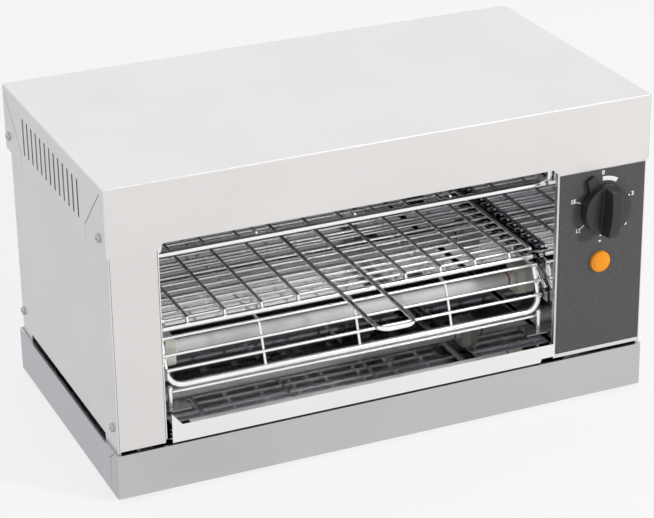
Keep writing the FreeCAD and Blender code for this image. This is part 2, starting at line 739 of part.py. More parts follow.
def make_side_panel(label, side):
    """A flat side with a rear flange, cut away above the base between its two legs."""
    body = new_body(label)
    plan = [
        (f"{side} * panel_outer", "frame_face"),
        (f"{side} * panel_outer", "rear_face - skin - sheet_gap"),
        (f"{side} * (panel_outer - panel_flange)", "rear_face - skin - sheet_gap"),
        (f"{side} * (panel_outer - panel_flange)", "rear_face - 2 * skin - sheet_gap"),
        (f"{side} * panel_inner", "rear_face - 2 * skin - sheet_gap"),
        (f"{side} * panel_inner", "frame_face"),
    ]
    pad(body, "web", "XY_Plane", "stand_level", "shell_top", [plan])
    notch = box_outline(
        "front + notch_front", "half_depth - notch_back", "0", "base_top + notch_rise"
    )
    low = "-half_width" if side < 0 else "half_width - 2 * panel_flange"
    high = "-half_width + 2 * panel_flange" if side < 0 else "half_width"
    pocket(body, "notch", "YZ_Plane", low, high, [notch])
    vent = box_outline(
        "front + slot_start - slot_width",
        "front + slot_start + (slot_count - 1) * slot_pitch + slot_width",
        "band_bottom + slot_edge - slot_width",
        "band_bottom + slot_edge + slot_length + slot_width",
    )
    pocket(body, "vent_window", "YZ_Plane", low, high, [vent])
    step = box_outline("front", "frame_back", "0", "sill")
    pocket(body, "base_step", "YZ_Plane", low, high, [step])
    holes = [
        square_outline(y, z, "screw_hole")
        for y in ("side_screw_y", "side_screw_rear_y")
        for z in ("side_screw_low", "side_screw_high")
    ]
    pocket(body, "panel_holes", "YZ_Plane", low, high, holes)


def make_rear_panel():
    body = new_body("rear_panel")
    face = box_outline("-frame_half", "frame_half", "stand_level", "shell_top")
    pad(body, "rear_sheet", "XZ_Plane", "rear_face - skin", "rear_face", [face])
    low, high = "rear_face - 2 * skin", "rear_face + skin"
    louvre = box_outline(
        "cavity_centre - louvre_length / 2",
        "cavity_centre + louvre_length / 2",
        "band_bottom - 2 * louvre_pitch",
        "band_bottom - 2 * louvre_pitch + louvre_width",
    )
    louvres = pocket(body, "louvre", "XZ_Plane", low, high, [louvre])
    row = repeat(body, louvres, "V_Axis", "louvre_pitch", "louvre_count")
    row.Reversed = True
    hole = ("gland_x", "gland_level", "gland_diameter * 0.7")
    pocket(body, "gland_hole", "XZ_Plane", low, high, [hole])


# Front frame and control panel


def make_front_frame():
    """An inverted U: left pillar, head and right column, with folded edges."""
    body = new_body("front_frame")
    face = [
        ("-frame_half", "sill"),
        ("opening_left", "sill"),
        ("opening_left", "head"),
        ("opening_right", "head"),
        ("opening_right", "sill"),
        ("frame_half", "sill"),
        ("frame_half", "shell_top"),
        ("-frame_half", "shell_top"),
    ]
    pad(body, "frame_sheet", "XZ_Plane", "frame_face", "frame_back", [face])
    flanges = [
        box_outline("-frame_half", "-frame_half + skin", "frame_face", "frame_face + frame_flange"),
        box_outline("frame_half - skin", "frame_half", "frame_face", "frame_face + frame_flange"),
    ]
    pad(body, "side_flanges", "XY_Plane", "sill", "shell_top", flanges)
    legs = [
        box_outline("-frame_half", "-frame_half + skin", "frame_back", "frame_face + frame_flange"),
        box_outline("frame_half - skin", "frame_half", "frame_back", "frame_face + frame_flange"),
    ]
    pad(body, "legs", "XY_Plane", "stand_level", "sill", legs)
    bottom = "frame_face + return_depth"
    returns = [
        box_outline("opening_left - skin", "opening_left", "frame_face", bottom),
        box_outline("opening_right", "opening_right + skin", "frame_face", bottom),
    ]
    pad(body, "returns", "XY_Plane", "sill", "head", returns)
    shaft_hole = square_outline("dial_x", "dial_z", "(shaft_diameter + 2 * panel_clearance)")
    lamp_hole = square_outline("lamp_x", "lamp_z", "(lamp_stem + 2 * panel_clearance)")
    low, high = "frame_face - skin", "frame_back + skin"
    pocket(body, "control_holes", "XZ_Plane", low, high, [shaft_hole, lamp_hole])


def make_control_panel():
    body = new_body("control_panel")
    face = box_outline(
        "opening_right + fascia_margin",
        "frame_half",
        "sill + fascia_rise",
        "band_bottom - fascia_margin",
    )
    pad(body, "fascia", "XZ_Plane", "fascia_face", "frame_face", [face])
    shaft_hole = ("dial_x", "dial_z", "shaft_diameter + 2 * panel_clearance")
    lamp_hole = ("lamp_x", "lamp_z", "lamp_stem + 2 * panel_clearance")
    low, high = "fascia_face - skin", "frame_face + skin"
    pocket(body, "fascia_holes", "XZ_Plane", low, high, [shaft_hole, lamp_hole])


# Heating chamber


def make_chamber_wall(label, side):
    """An upright wall with a foot flange turned away from the chamber and a window for each cap."""
    body = new_body(label)
    inner, sign = ("cavity_left", "-") if side < 0 else ("cavity_right", "+")
    profile = [
        (inner, "shelf_level"),
        (f"{inner} {sign} wall_flange", "shelf_level"),
        (f"{inner} {sign} wall_flange", "wall_foot"),
        (f"{inner} {sign} wall_sheet", "wall_foot"),
        (f"{inner} {sign} wall_sheet", "cavity_roof + 2 * wall_sheet"),
        (inner, "cavity_roof + 2 * wall_sheet"),
    ]
    pad(body, "wall", "XZ_Plane", "cavity_front", "cavity_back + wall_sheet", [profile])
    windows = []
    for y in ("tube_front_y", "tube_rear_y"):
        for z in ("tube_low", "tube_high"):
            windows.append(
                box_outline(
                    f"{y} - cap_depth / 2 - cap_clearance",
                    f"{y} + cap_depth / 2 + cap_clearance",
                    f"{z} - cap_height / 2 - cap_clearance",
                    f"{z} + cap_height / 2 + cap_clearance",
                )
            )
    low, high = f"{inner} - 3 * wall_sheet", f"{inner} + 3 * wall_sheet"
    pocket(body, "cap_windows", "YZ_Plane", low, high, windows)


def make_liner():
    """Roof, slanted corner and rear wall of the chamber, folded from one sheet."""
    body = new_body("chamber_liner")
    slant = "roof_slope"
    profile = [
        ("cavity_front", "cavity_roof"),
        (f"cavity_back - {slant}", "cavity_roof"),
        ("cavity_back", f"cavity_roof - {slant}"),
        ("cavity_back", "wall_foot"),
        ("cavity_back + wall_sheet", "wall_foot"),
        ("cavity_back + wall_sheet", f"cavity_roof - {slant} + 0.4 * wall_sheet"),
        (f"cavity_back - {slant} + 0.4 * wall_sheet", "cavity_roof + wall_sheet"),
        ("cavity_front", "cavity_roof + wall_sheet"),
    ]
    pad(body, "liner_sheet", "YZ_Plane", "cavity_left", "cavity_right", [profile])
    lip = box_outline("cavity_front", "cavity_front + wall_sheet", "head", "cavity_roof")
    pad(body, "roof_lip", "YZ_Plane", "cavity_left", "cavity_right", [lip])


def make_tray_shelf():
    """A bridge across the base that carries the chamber walls and the crumb tray."""
    body = new_body("tray_shelf")
    left = "cavity_left - shelf_overhang"
    right = "cavity_right + shelf_overhang"
    top, under = "shelf_level", "shelf_level - wall_sheet"
    foot, foot_top = "foot_height + skin", "foot_height + skin + wall_sheet"
    profile = [
        (left, top),
        (left, foot_top),
        (f"{left} - shelf_foot", foot_top),
        (f"{left} - shelf_foot", foot),
        (f"{left} + wall_sheet", foot),
        (f"{left} + wall_sheet", under),
        (f"{right} - wall_sheet", under),
        (f"{right} - wall_sheet", foot),
        (f"{right} + shelf_foot", foot),
        (f"{right} + shelf_foot", foot_top),
        (right, foot_top),
        (right, top),
    ]
    pad(body, "bridge", "XZ_Plane", "cavity_front", "cavity_back + wall_sheet", [profile])


def make_crumb_tray():
    """A shallow pan whose front is folded over into a lip with one raised corner."""
    body = new_body("crumb_tray")
    plan = box_outline("tray_left", "tray_right", "tray_front", "tray_back")
    pad(body, "pan_block", "XY_Plane", "tray_floor", "tray_top", [plan])
    hollow(body, "pan", "tray_sheet", lambda box: near(box.ZMin, v.tray_top))
    face = [
        ("lip_left", "lip_bottom"),
        ("lip_right - lip_notch_width - lip_notch_rise / 3", "lip_bottom"),
        ("lip_right - lip_notch_width", "lip_bottom + lip_notch_rise"),
        ("lip_right", "lip_bottom + lip_notch_rise"),
        ("lip_right", "tray_top"),
        ("lip_left + ear_width", "tray_top"),
        ("lip_left", "tray_top + ear_rise"),
    ]
    pad(body, "lip", "XZ_Plane", "front", "front + tray_sheet", [face])
    bridge = box_outline(
        "lip_left", "tray_right", "front + tray_sheet / 2", "tray_front + tray_sheet / 2"
    )
    pad(body, "lip_bridge", "XY_Plane", "tray_top - tray_sheet", "tray_top", [bridge])


def make_rack_rail(label, side):
    body = new_body(label)
    inner, sign = ("cavity_left", "+") if side < 0 else ("cavity_right", "-")
    profile = [
        (inner, "rail_top"),
        (f"{inner} {sign} rail_width", "rail_top"),
        (f"{inner} {sign} rail_width", "rail_top - skin"),
        (f"{inner} {sign} skin", "rail_top - skin"),
        (f"{inner} {sign} skin", "rail_top - rail_drop"),
        (inner, "rail_top - rail_drop"),
    ]
    low = "rack_front_y + rack_front_bar"
    pad(body, "rail", "XZ_Plane", low, "cavity_back - sheet_gap", [profile])


# Sliding wire rack


def make_rack():
    """Cross wires under long wires, a front bar and two side wires, touching where welded."""
    left = v.rack_centre - v.rack_half
    right = v.rack_centre + v.rack_half
    wires = []
    for i in range(int(v.rack_wire_count)):
        y = v.rack_first_wire + i * v.rack_wire_pitch
        wires.append(rod((left, y, v.rack_level), (right, y, v.rack_level), v.rack_wire))
    bar_level = v.rack_bar_level
    bar_ends = [(x, v.rack_front_y, bar_level) for x in (left, right)]
    wires.append(rod(*bar_ends, v.rack_front_bar))
    for x in (left + v.rack_end_inset, right - v.rack_end_inset):
        start = (x, v.rack_front_y, v.rack_long_level)
        end = (x, v.rack_back, v.rack_long_level)
        wires.append(rod(start, end, v.rack_long_wire))
    middle = (v.rack_long_count - 1) / 2
    for i in range(int(v.rack_long_count)):
        if abs(i - middle) < 1:
            continue
        x = v.rack_centre + (i - middle) * v.rack_long_pitch
        path = [
            (x, v.rack_back, v.rack_long_level),
            (x, v.rack_front_y, v.rack_long_level),
            (x, v.rack_front_y, v.rack_stub_foot),
        ]
        wires.append(bent_rod(path, [v.rack_bend], v.rack_long_wire))
    keep_shape("rack_grid", wires)


def make_handle():
    """One wire: two long arms over the rack and a rounded end ahead of the toaster."""
    reach = v.front - v.handle_reach + v.rack_handle_wire / 2
    left = v.rack_centre - v.rack_long_pitch / 2
    right = v.rack_centre + v.rack_long_pitch / 2
    z = v.handle_level
    path = [(left, v.rack_back, z), (left, reach, z), (right, reach, z), (right, v.rack_back, z)]
    keep_shape("rack_handle", [bent_rod(path, [v.handle_corner] * 2, v.rack_handle_wire)])


# Wire guards over the heating tubes


def make_lower_guard():
    """A frame rod bent over the lower tubes, cross wires on it, and long wires between the two.
    The rod is a piece of its own, and is given back for the feet to be fitted to it."""
    left = v.cavity_centre - v.guard_half
    right = v.cavity_centre + v.guard_half
    back = Vector(0, v.cavity_back - v.sheet_gap, v.guard_level)
    shoulder = Vector(0, v.front + v.guard_front, v.guard_level)
    toe = Vector(0, v.front + v.guard_toe, v.guard_low)
    left_side = [(left, point.y, point.z) for point in (back, shoulder, toe)]
    right_side = [(right, point.y, point.z) for point in (toe, shoulder, back)]
    bends = [v.guard_bend, v.guard_corner, v.guard_corner, v.guard_bend]
    frame = bent_rod(left_side + right_side, bends, v.guard_rod)
    keep_shape("lower_guard_frame", [frame])
    solids = []

    level = Vector(0, -1, 0)
    down = (toe - shoulder).normalize()
    above = Vector(0, 0, 1)
    ahead = Vector(0, down.z, -down.y)
    half_turn = level.getAngle(down) / 2
    bend_centre = shoulder - (above + ahead).normalize() * (v.guard_bend / math.cos(half_turn))
    cross_lift = (v.guard_rod + v.guard_wire) / 2
    long_lift = cross_lift - v.guard_wire

    crest = (above + ahead).normalize()
    first_drop = shoulder + down * v.slope_wire_drop + ahead * cross_lift
    spots = [
        (bend_centre + crest * (v.guard_bend + cross_lift), crest),
        (first_drop, ahead),
        (first_drop + down * v.slope_wire_pitch, ahead),
    ]
    first_top = shoulder - level * (v.guard_bend + v.guard_wire) + above * cross_lift
    for i in range(int(v.guard_wire_count)):
        spots.append((first_top - level * (i * v.guard_wire_pitch), above))
    reach = v.guard_overhang
    for spot, outward in spots:
        ends = [(left - reach, spot.y, spot.z), (right + reach, spot.y, spot.z)]
        solids.append(rod(*ends, v.guard_wire, outward))

    outer_shoulder = shoulder + (above + ahead) * (long_lift / (1 + above.dot(ahead)))
    long_front = toe - down * (v.guard_rod / 2) + ahead * long_lift
    long_back = spots[-1][0] - level * v.guard_wire - above * v.guard_wire
    bay = 2 * v.guard_half / v.guard_bays
    for i in range(1, int(v.guard_bays)):
        x = left + i * bay
        path = [(x, point.y, point.z) for point in (long_back, outer_shoulder, long_front)]
        solids.append(bent_rod(path, [v.guard_bend + long_lift], v.guard_wire))
    keep_shape("lower_guard_wires", solids)
    return frame


def make_guard_feet(frame):
    """Two feet welded under the guard's front corners, the wire that ties them, and two stays."""
    left = v.cavity_centre - v.guard_half
    right = v.cavity_centre + v.guard_half
    y = v.front + v.guard_toe
    low = v.guard_low - v.guard_foot_length
    solids = []
    for x in (left + v.guard_foot_inset, right - v.guard_foot_inset):
        foot = rod((x, y, low), (x, y, v.guard_low + v.guard_rod), v.guard_foot_rod, (0, 1, 0))
        foot = foot.cut(frame)
        solids.append(max(foot.Solids, key=lambda solid: solid.Volume))
    tie_y = y + (v.guard_foot_rod + v.guard_tie_wire) / 2
    tie_z = v.guard_low - v.guard_tie_drop
    solids.append(rod((left, tie_y, tie_z), (right, tie_y, tie_z), v.guard_tie_wire))
    stay_top = (v.front + v.guard_front + v.stay_start, v.guard_level - v.guard_rod / 2)
    clip_middle = v.front + v.clip_setback + v.clip_width / 2
    stay_end = (clip_middle, v.clip_rise + v.clip_height + v.sheet_gap + v.guard_stay_rod / 2)
    reach = (v.guard_rod + v.guard_stay_rod) / 2
    for x in (left - reach, right + reach):
        solids.append(rod((x, *stay_top), (x, *stay_end), v.guard_stay_rod, (1, 0, 0)))
    keep_shape("guard_feet", solids)


def make_upper_guard():
    """A flat grid under the upper tubes whose side rods turn up behind the hood at the front."""
    left = v.cavity_centre - v.upper_guard_half
    right = v.cavity_centre + v.upper_guard_half
    z = v.upper_guard_level
    back = v.cavity_back - v.sheet_gap
    hook = v.front + v.upper_guard_hook
    solids = []
    for x in (left, right):
        path = [(x, back, z), (x, hook, z), (x, hook, z + v.upper_hook_rise)]
        solids.append(bent_rod(path, [v.guard_bend], v.guard_foot_rod))
    side = v.guard_foot_rod / 2
    bar_y = v.front + v.upper_guard_front
    bar_z = z - side - v.guard_rod / 2
    solids.append(rod((left - side, bar_y, bar_z), (right + side, bar_y, bar_z), v.guard_rod))
    wire_z = z - side - v.guard_wire / 2
    last_y = bar_y + v.guard_wire_count * v.guard_wire_pitch
    for i in range(int(v.guard_wire_count)):
        y = bar_y + (i + 1) * v.guard_wire_pitch
        solids.append(rod((left - side, y, wire_z), (right + side, y, wire_z), v.guard_wire))
    long_z = wire_z + v.guard_wire
    bay = 2 * v.upper_guard_half / v.guard_bays
    for i in range(1, int(v.guard_bays)):
        x = left + i * bay
        start = (x, bar_y, long_z)
        solids.append(rod(start, (x, last_y + v.guard_wire, long_z), v.guard_wire))
    keep_shape("upper_guard", solids)


def make_guard_brackets():
    """On each chamber wall, an angle with a hole for the guard's foot, and a clip for its stay."""
    y = v.front + v.guard_toe
    half = v.ledge_depth / 2
    top = v.ledge_rise
    hole = v.guard_foot_rod + 2 * v.sheet_gap
    solids = []
    for inner, sign in ((v.cavity_left, 1), (v.cavity_right, -1)):
        foot_x = v.cavity_centre - sign * (v.guard_half - v.guard_foot_inset)
        near_side, far_side = sorted((inner, inner + sign * v.ledge_reach))
        ledge = block((near_side, y - half, top - v.skin), (far_side, y + half, top))
        near_side, far_side = sorted((inner, inner + sign * v.skin))
        leg = block((near_side, y - half, top - v.bracket_leg), (far_side, y + half, top))
        angle = ledge.fuse(leg).removeSplitter()
        bore = [(foot_x, y, top - 2 * v.skin), (foot_x, y, top + v.skin)]
        solids.append(angle.cut(rod(*bore, hole, (0, 1, 0))))
        near_side, far_side = sorted((inner, inner + sign * v.clip_reach))
        clip_front = v.front + v.clip_setback
        low_corner = (near_side, clip_front, v.clip_rise)
        high_corner = (far_side, clip_front + v.clip_width, v.clip_rise + v.clip_height)
        solids.append(block(low_corner, high_corner))
    keep_shape("guard_brackets", solids)


# Quartz heating tubes


def tube_axes():
    for z_name, z in (("lower", v.tube_low), ("upper", v.tube_high)):
        for y_name, y in (("front", v.tube_front_y), ("rear", v.tube_rear_y)):
            yield f"{z_name}_{y_name}", y, z


def make_tubes():
    bore = v.tube_diameter - 2 * v.tube_wall
    coils = []
    for name, y, z in tube_axes():
        ends = [(v.tube_left, y, z), (v.tube_right, y, z)]
        tube = rod(*ends, v.tube_diameter, sides=TUBE_SIDES).cut(rod(*ends, bore, sides=TUBE_SIDES))
        keep_shape(f"{name}_tube", [tube])
        coils.append(rod(*ends, v.coil_diameter))
    keep_shape("heating_coils", coils)


def make_cap(low_x, y, z, mouth):
    """A ceramic block with two grooves round it and a blind bore; mouth is the side of the tube."""
    half_depth = v.cap_depth / 2
    half_height = v.cap_height / 2
    low = (low_x, y - half_depth, z - half_height)
    high = (low_x + v.cap_length, y + half_depth, z + half_height)
    cap = block(low, high)
    long_edges = [edge for edge in cap.Edges if edge.BoundBox.XLength > v.cap_length / 2]
    cap = cap.makeChamfer(v.cap_groove, long_edges)
    mouth_x = low_x + v.cap_length if mouth > 0 else low_x
    for step in (1, 2):
        start = mouth_x - mouth * step * v.cap_groove_pitch
        near_side, far_side = sorted((start, start - mouth * v.cap_groove))
        ring_block = block(
            (near_side, y - v.cap_depth, z - v.cap_height),
            (far_side, y + v.cap_depth, z + v.cap_height),
        )
        core = block(
            (near_side, y - half_depth + v.cap_groove, z - half_height + v.cap_groove),
            (far_side, y + half_depth - v.cap_groove, z + half_height - v.cap_groove),
        )
        cap = cap.cut(ring_block.cut(core))
    bore = v.tube_diameter + 2 * v.cap_clearance
    bottom = mouth_x - mouth * v.cap_overlap
    return cap.cut(rod((bottom, y, z), (mouth_x, y, z), bore, sides=TUBE_SIDES))


def make_caps_and_terminals():
    left, right, terminals = [], [], []
    for _, y, z in tube_axes():
        left.append(make_cap(v.left_cap, y, z, 1))
        right.append(make_cap(v.right_cap, y, z, -1))
        for face, outward in ((v.left_cap, -1), (v.right_cap + v.cap_length, 1)):
            pin = rod((face, y, z), (face + outward * v.pin_reach, y, z), v.pin_diameter)
            nut = hexagon_nut((face, y, z), (outward, 0, 0), v.nut_across, v.nut_height, 0)
            terminals.append(pin.fuse(nut).removeSplitter())
    keep_shape("left_ceramic_caps", left)
    keep_shape("right_ceramic_caps", right)
    keep_shape("tube_terminals", terminals)


def make_link_strips():
    """Two flat strips that join the left terminals of the lower and upper tubes."""
    x = v.left_cap - v.nut_height - v.strip_sheet
    half = v.strip_width / 2
    hole = v.pin_diameter + v.cap_clearance
    strips = []
    for y in (v.tube_front_y, v.tube_rear_y):
        low = (x, y - half, v.tube_low - half)
        high = (x + v.strip_sheet, y + half, v.tube_high + half)
        strip = block(low, high)
        for z in (v.tube_low, v.tube_high):
            strip = strip.cut(rod((x - v.skin, y, z), (x + 2 * v.skin, y, z), hole))
        strips.append(strip)
    keep_shape("link_strips", strips)


# Timer, knob and pilot lamp


def make_timer():
    body = new_body("timer_case")
    face = square_outline("dial_x", "dial_z", "timer_plate")
    pad(body, "timer_flange", "XZ_Plane", "frame_back", "frame_back + timer_plate_sheet", [face])
    case = square_outline("dial_x", "dial_z", "timer_width")
    low = "frame_back + timer_plate_sheet"
    high = f"{low} + timer_depth"
    pad(body, "case", "XZ_Plane", low, high, [case])
    bore = ("dial_x", "dial_z", "shaft_diameter + 2 * shaft_clearance")
    bottom = f"{low} + shaft_length + sheet_gap"
    pocket(body, "shaft_bore", "XZ_Plane", "frame_face", bottom, [bore])
    tabs = [
        box_outline(
            f"dial_x + {side} * timer_tab_spacing / 2 - timer_tab_width / 2",
            f"dial_x + {side} * timer_tab_spacing / 2 + timer_tab_width / 2",
            "dial_z - timer_tab_drop - timer_tab_sheet / 2",
            "dial_z - timer_tab_drop + timer_tab_sheet / 2",
        )
        for side in (-1, 1)
    ]
    pad(body, "timer_tabs", "XZ_Plane", high, f"{high} + timer_tab_length", tabs)


def make_shaft():
    """A round shaft with a flat that the knob grips."""
    body = new_body("timer_shaft")
    low = "knob_front + knob_cap"
    high = "frame_back + timer_plate_sheet + shaft_length"
    pad(body, "shaft", "XZ_Plane", low, high, [("dial_x", "dial_z", "shaft_diameter")])
    flat = box_outline(
        "dial_x - shaft_diameter",
        "dial_x + shaft_diameter",
        "dial_z + shaft_diameter / 4",
        "dial_z + shaft_diameter",
    )
    pocket(body, "shaft_flat", "XZ_Plane", "knob_front", "knob_back - pointer_sheet", [flat])


def make_knob():
    """A tapered knob whose two flanks are cut away to leave a straight grip."""
    body = new_body("timer_knob")
    sketch = new_sketch(body, "knob_profile", "YZ_Plane", "dial_x")
    draw_outline(
        sketch,
        [
            ("knob_back", "dial_z"),
            ("knob_back", "dial_z + knob_diameter / 2"),
            ("knob_back - knob_skirt", "dial_z + knob_diameter / 2"),
            ("knob_front + knob_bevel", "dial_z + knob_front_diameter / 2"),
            ("knob_front", "dial_z + knob_front_diameter / 2 - knob_bevel"),
            ("knob_front", "dial_z"),
        ],
    )
    turn = body.newObject("PartDesign::Revolution", "knob_turn")
    turn.Profile = sketch
    turn.ReferenceAxis = (sketch, ["Edge6"])
    turn.Angle = 360
    doc.recompute()
    for name, side in (("left_flank", -1), ("right_flank", 1)):
        flank = [
            (f"dial_x + {side} * grip_width / 2", "knob_front - 1"),
            (f"dial_x + {side} * knob_diameter", "knob_front - 1"),
            (f"dial_x + {side} * knob_diameter", "knob_front + grip_depth"),
            (f"dial_x + {side} * grip_width / 2", "knob_front + grip_depth"),
        ]
        pocket(body, name, "XY_Plane", "dial_z - knob_diameter", "dial_z + knob_diameter", [flank])
    across = "cos(pointer_angle)"
    along = "sin(pointer_angle)"
    root = "(knob_diameter / 2 - pointer_sheet)"
    tip = "(knob_diameter / 2 + pointer_reach)"
    ends = (
        (root, "(-pointer_root / 2)"),
        (tip, "(-pointer_tip / 2)"),
        (tip, "(pointer_tip / 2)"),
        (root, "(pointer_root / 2)"),
    )
    pointer = [
        (
            f"dial_x - {reach} * {along} + {offset} * {across}",
            f"dial_z + {reach} * {across} + {offset} * {along}",
        )
        for reach, offset in ends
    ]
    pad(body, "pointer", "XZ_Plane", "knob_back - pointer_sheet", "knob_back", [pointer])
    bore = ("dial_x", "dial_z", "shaft_diameter + 2 * shaft_clearance")
    low = "knob_front + knob_cap - sheet_gap"
    pocket(body, "knob_bore", "XZ_Plane", low, "knob_back + skin", [bore])


def make_lamp():
    axis = (0, 1, 0)
    spot = (v.lamp_x, v.fascia_face, v.lamp_z)
    shoulder = (v.lens_rise + v.lens_rim) / 2 + v.skin / 2
    lens = [
        (-v.lens_rise, 0),
        (-v.lens_rise, v.lens_flat / 2),
        (-shoulder, v.lens_shoulder / 2),
        (-v.lens_rim, v.lamp_diameter / 2),
        (0, v.lamp_diameter / 2),
        (0, 0),
    ]
    keep_shape("lamp_lens", [turned(lens, spot, axis)])
    stem = v.lamp_stem / 2
    end = v.lamp_length + v.lamp_tip
    case = [(0, 0), (0, stem), (v.lamp_length, stem), (end, stem - v.lamp_tip), (end, 0)]
    keep_shape("lamp_body", [turned(case, spot, axis)])
    start = v.fascia_sheet + v.skin
    inner = stem + v.clip_play
    outer = inner + v.clip_wall
    clip = [
        (start, inner),
        (start, outer),
        (start + v.clip_sheet, outer),
        (start + v.clip_sheet, inner),
    ]
    keep_shape("lamp_clip", [turned(clip, spot, axis)])


# Cable entry, terminal block, earth stud, feet and screws


def make_gland():
    axis = (0, 1, 0)
    bore = v.gland_bore / 2
    neck = v.gland_neck / 2
    flange = v.gland_diameter / 2
    gland = [
        (-v.gland_depth, bore),
        (-v.gland_depth, neck),
        (0, neck),
        (0, flange),
        (v.gland_flange, flange),
        (v.gland_rise, v.gland_dome / 2),
        (v.gland_rise, bore),
    ]
    keep_shape("cable_gland", [turned(gland, (v.gland_x, v.rear_face, v.gland_level), axis)])
    seat = (v.gland_x, v.rear_face - v.skin - v.gland_nut_height, v.gland_level)
    hole = v.gland_neck + v.sheet_gap
    nut = hexagon_nut(seat, axis, v.gland_nut_across, v.gland_nut_height, hole)
    keep_shape("gland_nut", [nut])


def make_terminal_block():
    x = v.cavity_right + v.shelf_overhang + v.shelf_foot + v.block_gap
    y = v.rear_face - v.block_back
    floor = v.foot_height + v.skin
    top = floor + v.block_height
    base = block((x, y, floor), (x + v.block_length, y + v.block_depth, top))
    poles = int(v.block_poles)
    for i in range(poles):
        well_x = x + v.block_length * (i + 0.5) / poles
        for well_y in (y + v.block_well_inset, y + v.block_depth - v.block_well_inset):
            mouth = (well_x, well_y, top)
            bottom = (well_x, well_y, top - v.block_height / 2)
            base = base.cut(rod(mouth, bottom, v.block_well, (0, 1, 0)))
    keep_shape("terminal_block", [base])


def make_earth_stud():
    foot = (v.gland_x, v.rear_face - v.stud_back, v.foot_height + v.skin)
    top = (*foot[:2], foot[2] + v.stud_length)
    stud = rod(foot, top, v.stud_diameter, (0, 1, 0))
    nut = hexagon_nut(foot, (0, 0, 1), v.stud_nut_across, v.stud_nut_height, 0)
    keep_shape("earth_stud", [stud.fuse(nut).removeSplitter()])


def make_feet():
    floor = v.foot_height + v.skin
    head = v.foot_height - v.foot_roof
    hole = v.screw_hole / 2 + v.sheet_gap
    profile = [
        (0, v.foot_recess / 2),
        (0, v.foot_underside / 2),
        (v.foot_height, v.foot_diameter / 2),
        (v.foot_height, hole),
        (head, hole),
        (head, v.foot_recess / 2),
    ]
    rear = (0, 1, 0)
    feet, screws = [], []
    for side in (-1, 1):
        for end in (-1, 1):
            spot = (side * (v.half_width - v.foot_inset), end * (v.half_depth - v.foot_inset))
            feet.append(turned(profile, (*spot, 0), (0, 0, 1)))
            pin = rod((*spot, head), (*spot, floor + v.foot_thread), v.screw_shank, rear)
            cap = rod((*spot, head - v.foot_head_height), (*spot, head), v.foot_head, rear)
            nut = hexagon_nut((*spot, floor), (0, 0, 1), v.nut_across, v.foot_nut_height, 0)
            screws.append(pin.fuse([cap, nut]).removeSplitter())
    keep_shape("rubber_feet", feet)
    keep_shape("foot_screws", screws)


def make_screws():
    upper, lower = [], []
    for side in (-1, 1):
        for y in (v.side_screw_y, v.side_screw_rear_y):
            upper.append(screw((side * v.half_width, y, v.side_screw_high), (-side, 0, 0)))
            lower.append(screw((side * v.panel_outer, y, v.side_screw_low), (-side, 0, 0)))
    keep_shape("hood_screws", upper)
    keep_shape("panel_screws", lower)


make_hood()
make_base()
make_side_panel("left_side_panel", -1)
make_side_panel("right_side_panel", 1)
make_rear_panel()
make_front_frame()
make_control_panel()
make_chamber_wall("left_chamber_wall", -1)
make_chamber_wall("right_chamber_wall", 1)
make_liner()
make_tray_shelf()
make_crumb_tray()
make_rack_rail("left_rack_rail", -1)
make_rack_rail("right_rack_rail", 1)
make_rack()
make_handle()
make_guard_feet(make_lower_guard())
make_upper_guard()
make_guard_brackets()
make_tubes()
make_caps_and_terminals()
make_link_strips()
make_timer()
make_shaft()
make_knob()
make_lamp()
make_gland()
make_terminal_block()
make_earth_stud()
make_feet()
make_screws()
doc.recompute()

faults = []
for item in doc.Objects:
    if "Invalid" in item.State or "Error" in item.State:
        faults.append(f"{item.Label}: {item.State}")
for item in subparts:
    if item.Shape.isNull() or not item.Shape.isValid():
        faults.append(f"{item.Label}: its shape is not valid")
if faults:
    raise SystemExit("\n".join(faults))

os.makedirs("parts", exist_ok=True)
for item in subparts:
    item.Shape.exportStep(os.path.join("parts", item.Label + ".step"))
    print(f"{item.Label}: {len(item.Shape.Solids)} solids, {item.Shape.Volume:.0f} mm3")
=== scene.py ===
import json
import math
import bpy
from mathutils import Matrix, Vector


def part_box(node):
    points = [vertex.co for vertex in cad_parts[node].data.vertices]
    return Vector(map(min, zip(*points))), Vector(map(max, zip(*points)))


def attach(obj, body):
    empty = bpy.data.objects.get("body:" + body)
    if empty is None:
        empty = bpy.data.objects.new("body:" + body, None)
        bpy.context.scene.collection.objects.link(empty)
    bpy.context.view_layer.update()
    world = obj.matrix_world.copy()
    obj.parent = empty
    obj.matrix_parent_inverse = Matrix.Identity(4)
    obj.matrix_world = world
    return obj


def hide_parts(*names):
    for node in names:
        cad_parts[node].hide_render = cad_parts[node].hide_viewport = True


bl_info = {
    "name": "Quartz Sandwich Toaster",
    "version": (1, 0, 0),
    "blender": (4, 5, 0),
    "location": "3D View > Sidebar > Toaster",
    "description": "Dresses the packed model of a sandwich toaster and lights it",
    "category": "Object",
}

import bmesh
import bpy
import numpy as np
from mathutils import Matrix, Vector

# Everything is in metres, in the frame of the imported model: X to the right, the front faces -Y.
# New pieces take their places from the boxes of the nodes that they stand for.

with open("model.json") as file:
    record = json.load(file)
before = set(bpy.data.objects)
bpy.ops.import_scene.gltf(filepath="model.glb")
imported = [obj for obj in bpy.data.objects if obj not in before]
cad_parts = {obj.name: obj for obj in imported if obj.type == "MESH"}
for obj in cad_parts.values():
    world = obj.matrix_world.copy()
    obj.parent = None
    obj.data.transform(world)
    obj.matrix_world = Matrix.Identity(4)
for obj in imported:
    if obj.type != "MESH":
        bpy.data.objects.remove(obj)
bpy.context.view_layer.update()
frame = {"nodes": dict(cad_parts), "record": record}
HOOD_LOW, HOOD_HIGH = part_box("hood")
FRONT = HOOD_LOW.y
MM = 0.001
PHOTO_WIDTH = 654


# Kinds of settings


def length(name, description, default):
    return bpy.props.FloatProperty(
        name=name, description=description, default=default, unit="LENGTH", precision=4
    )


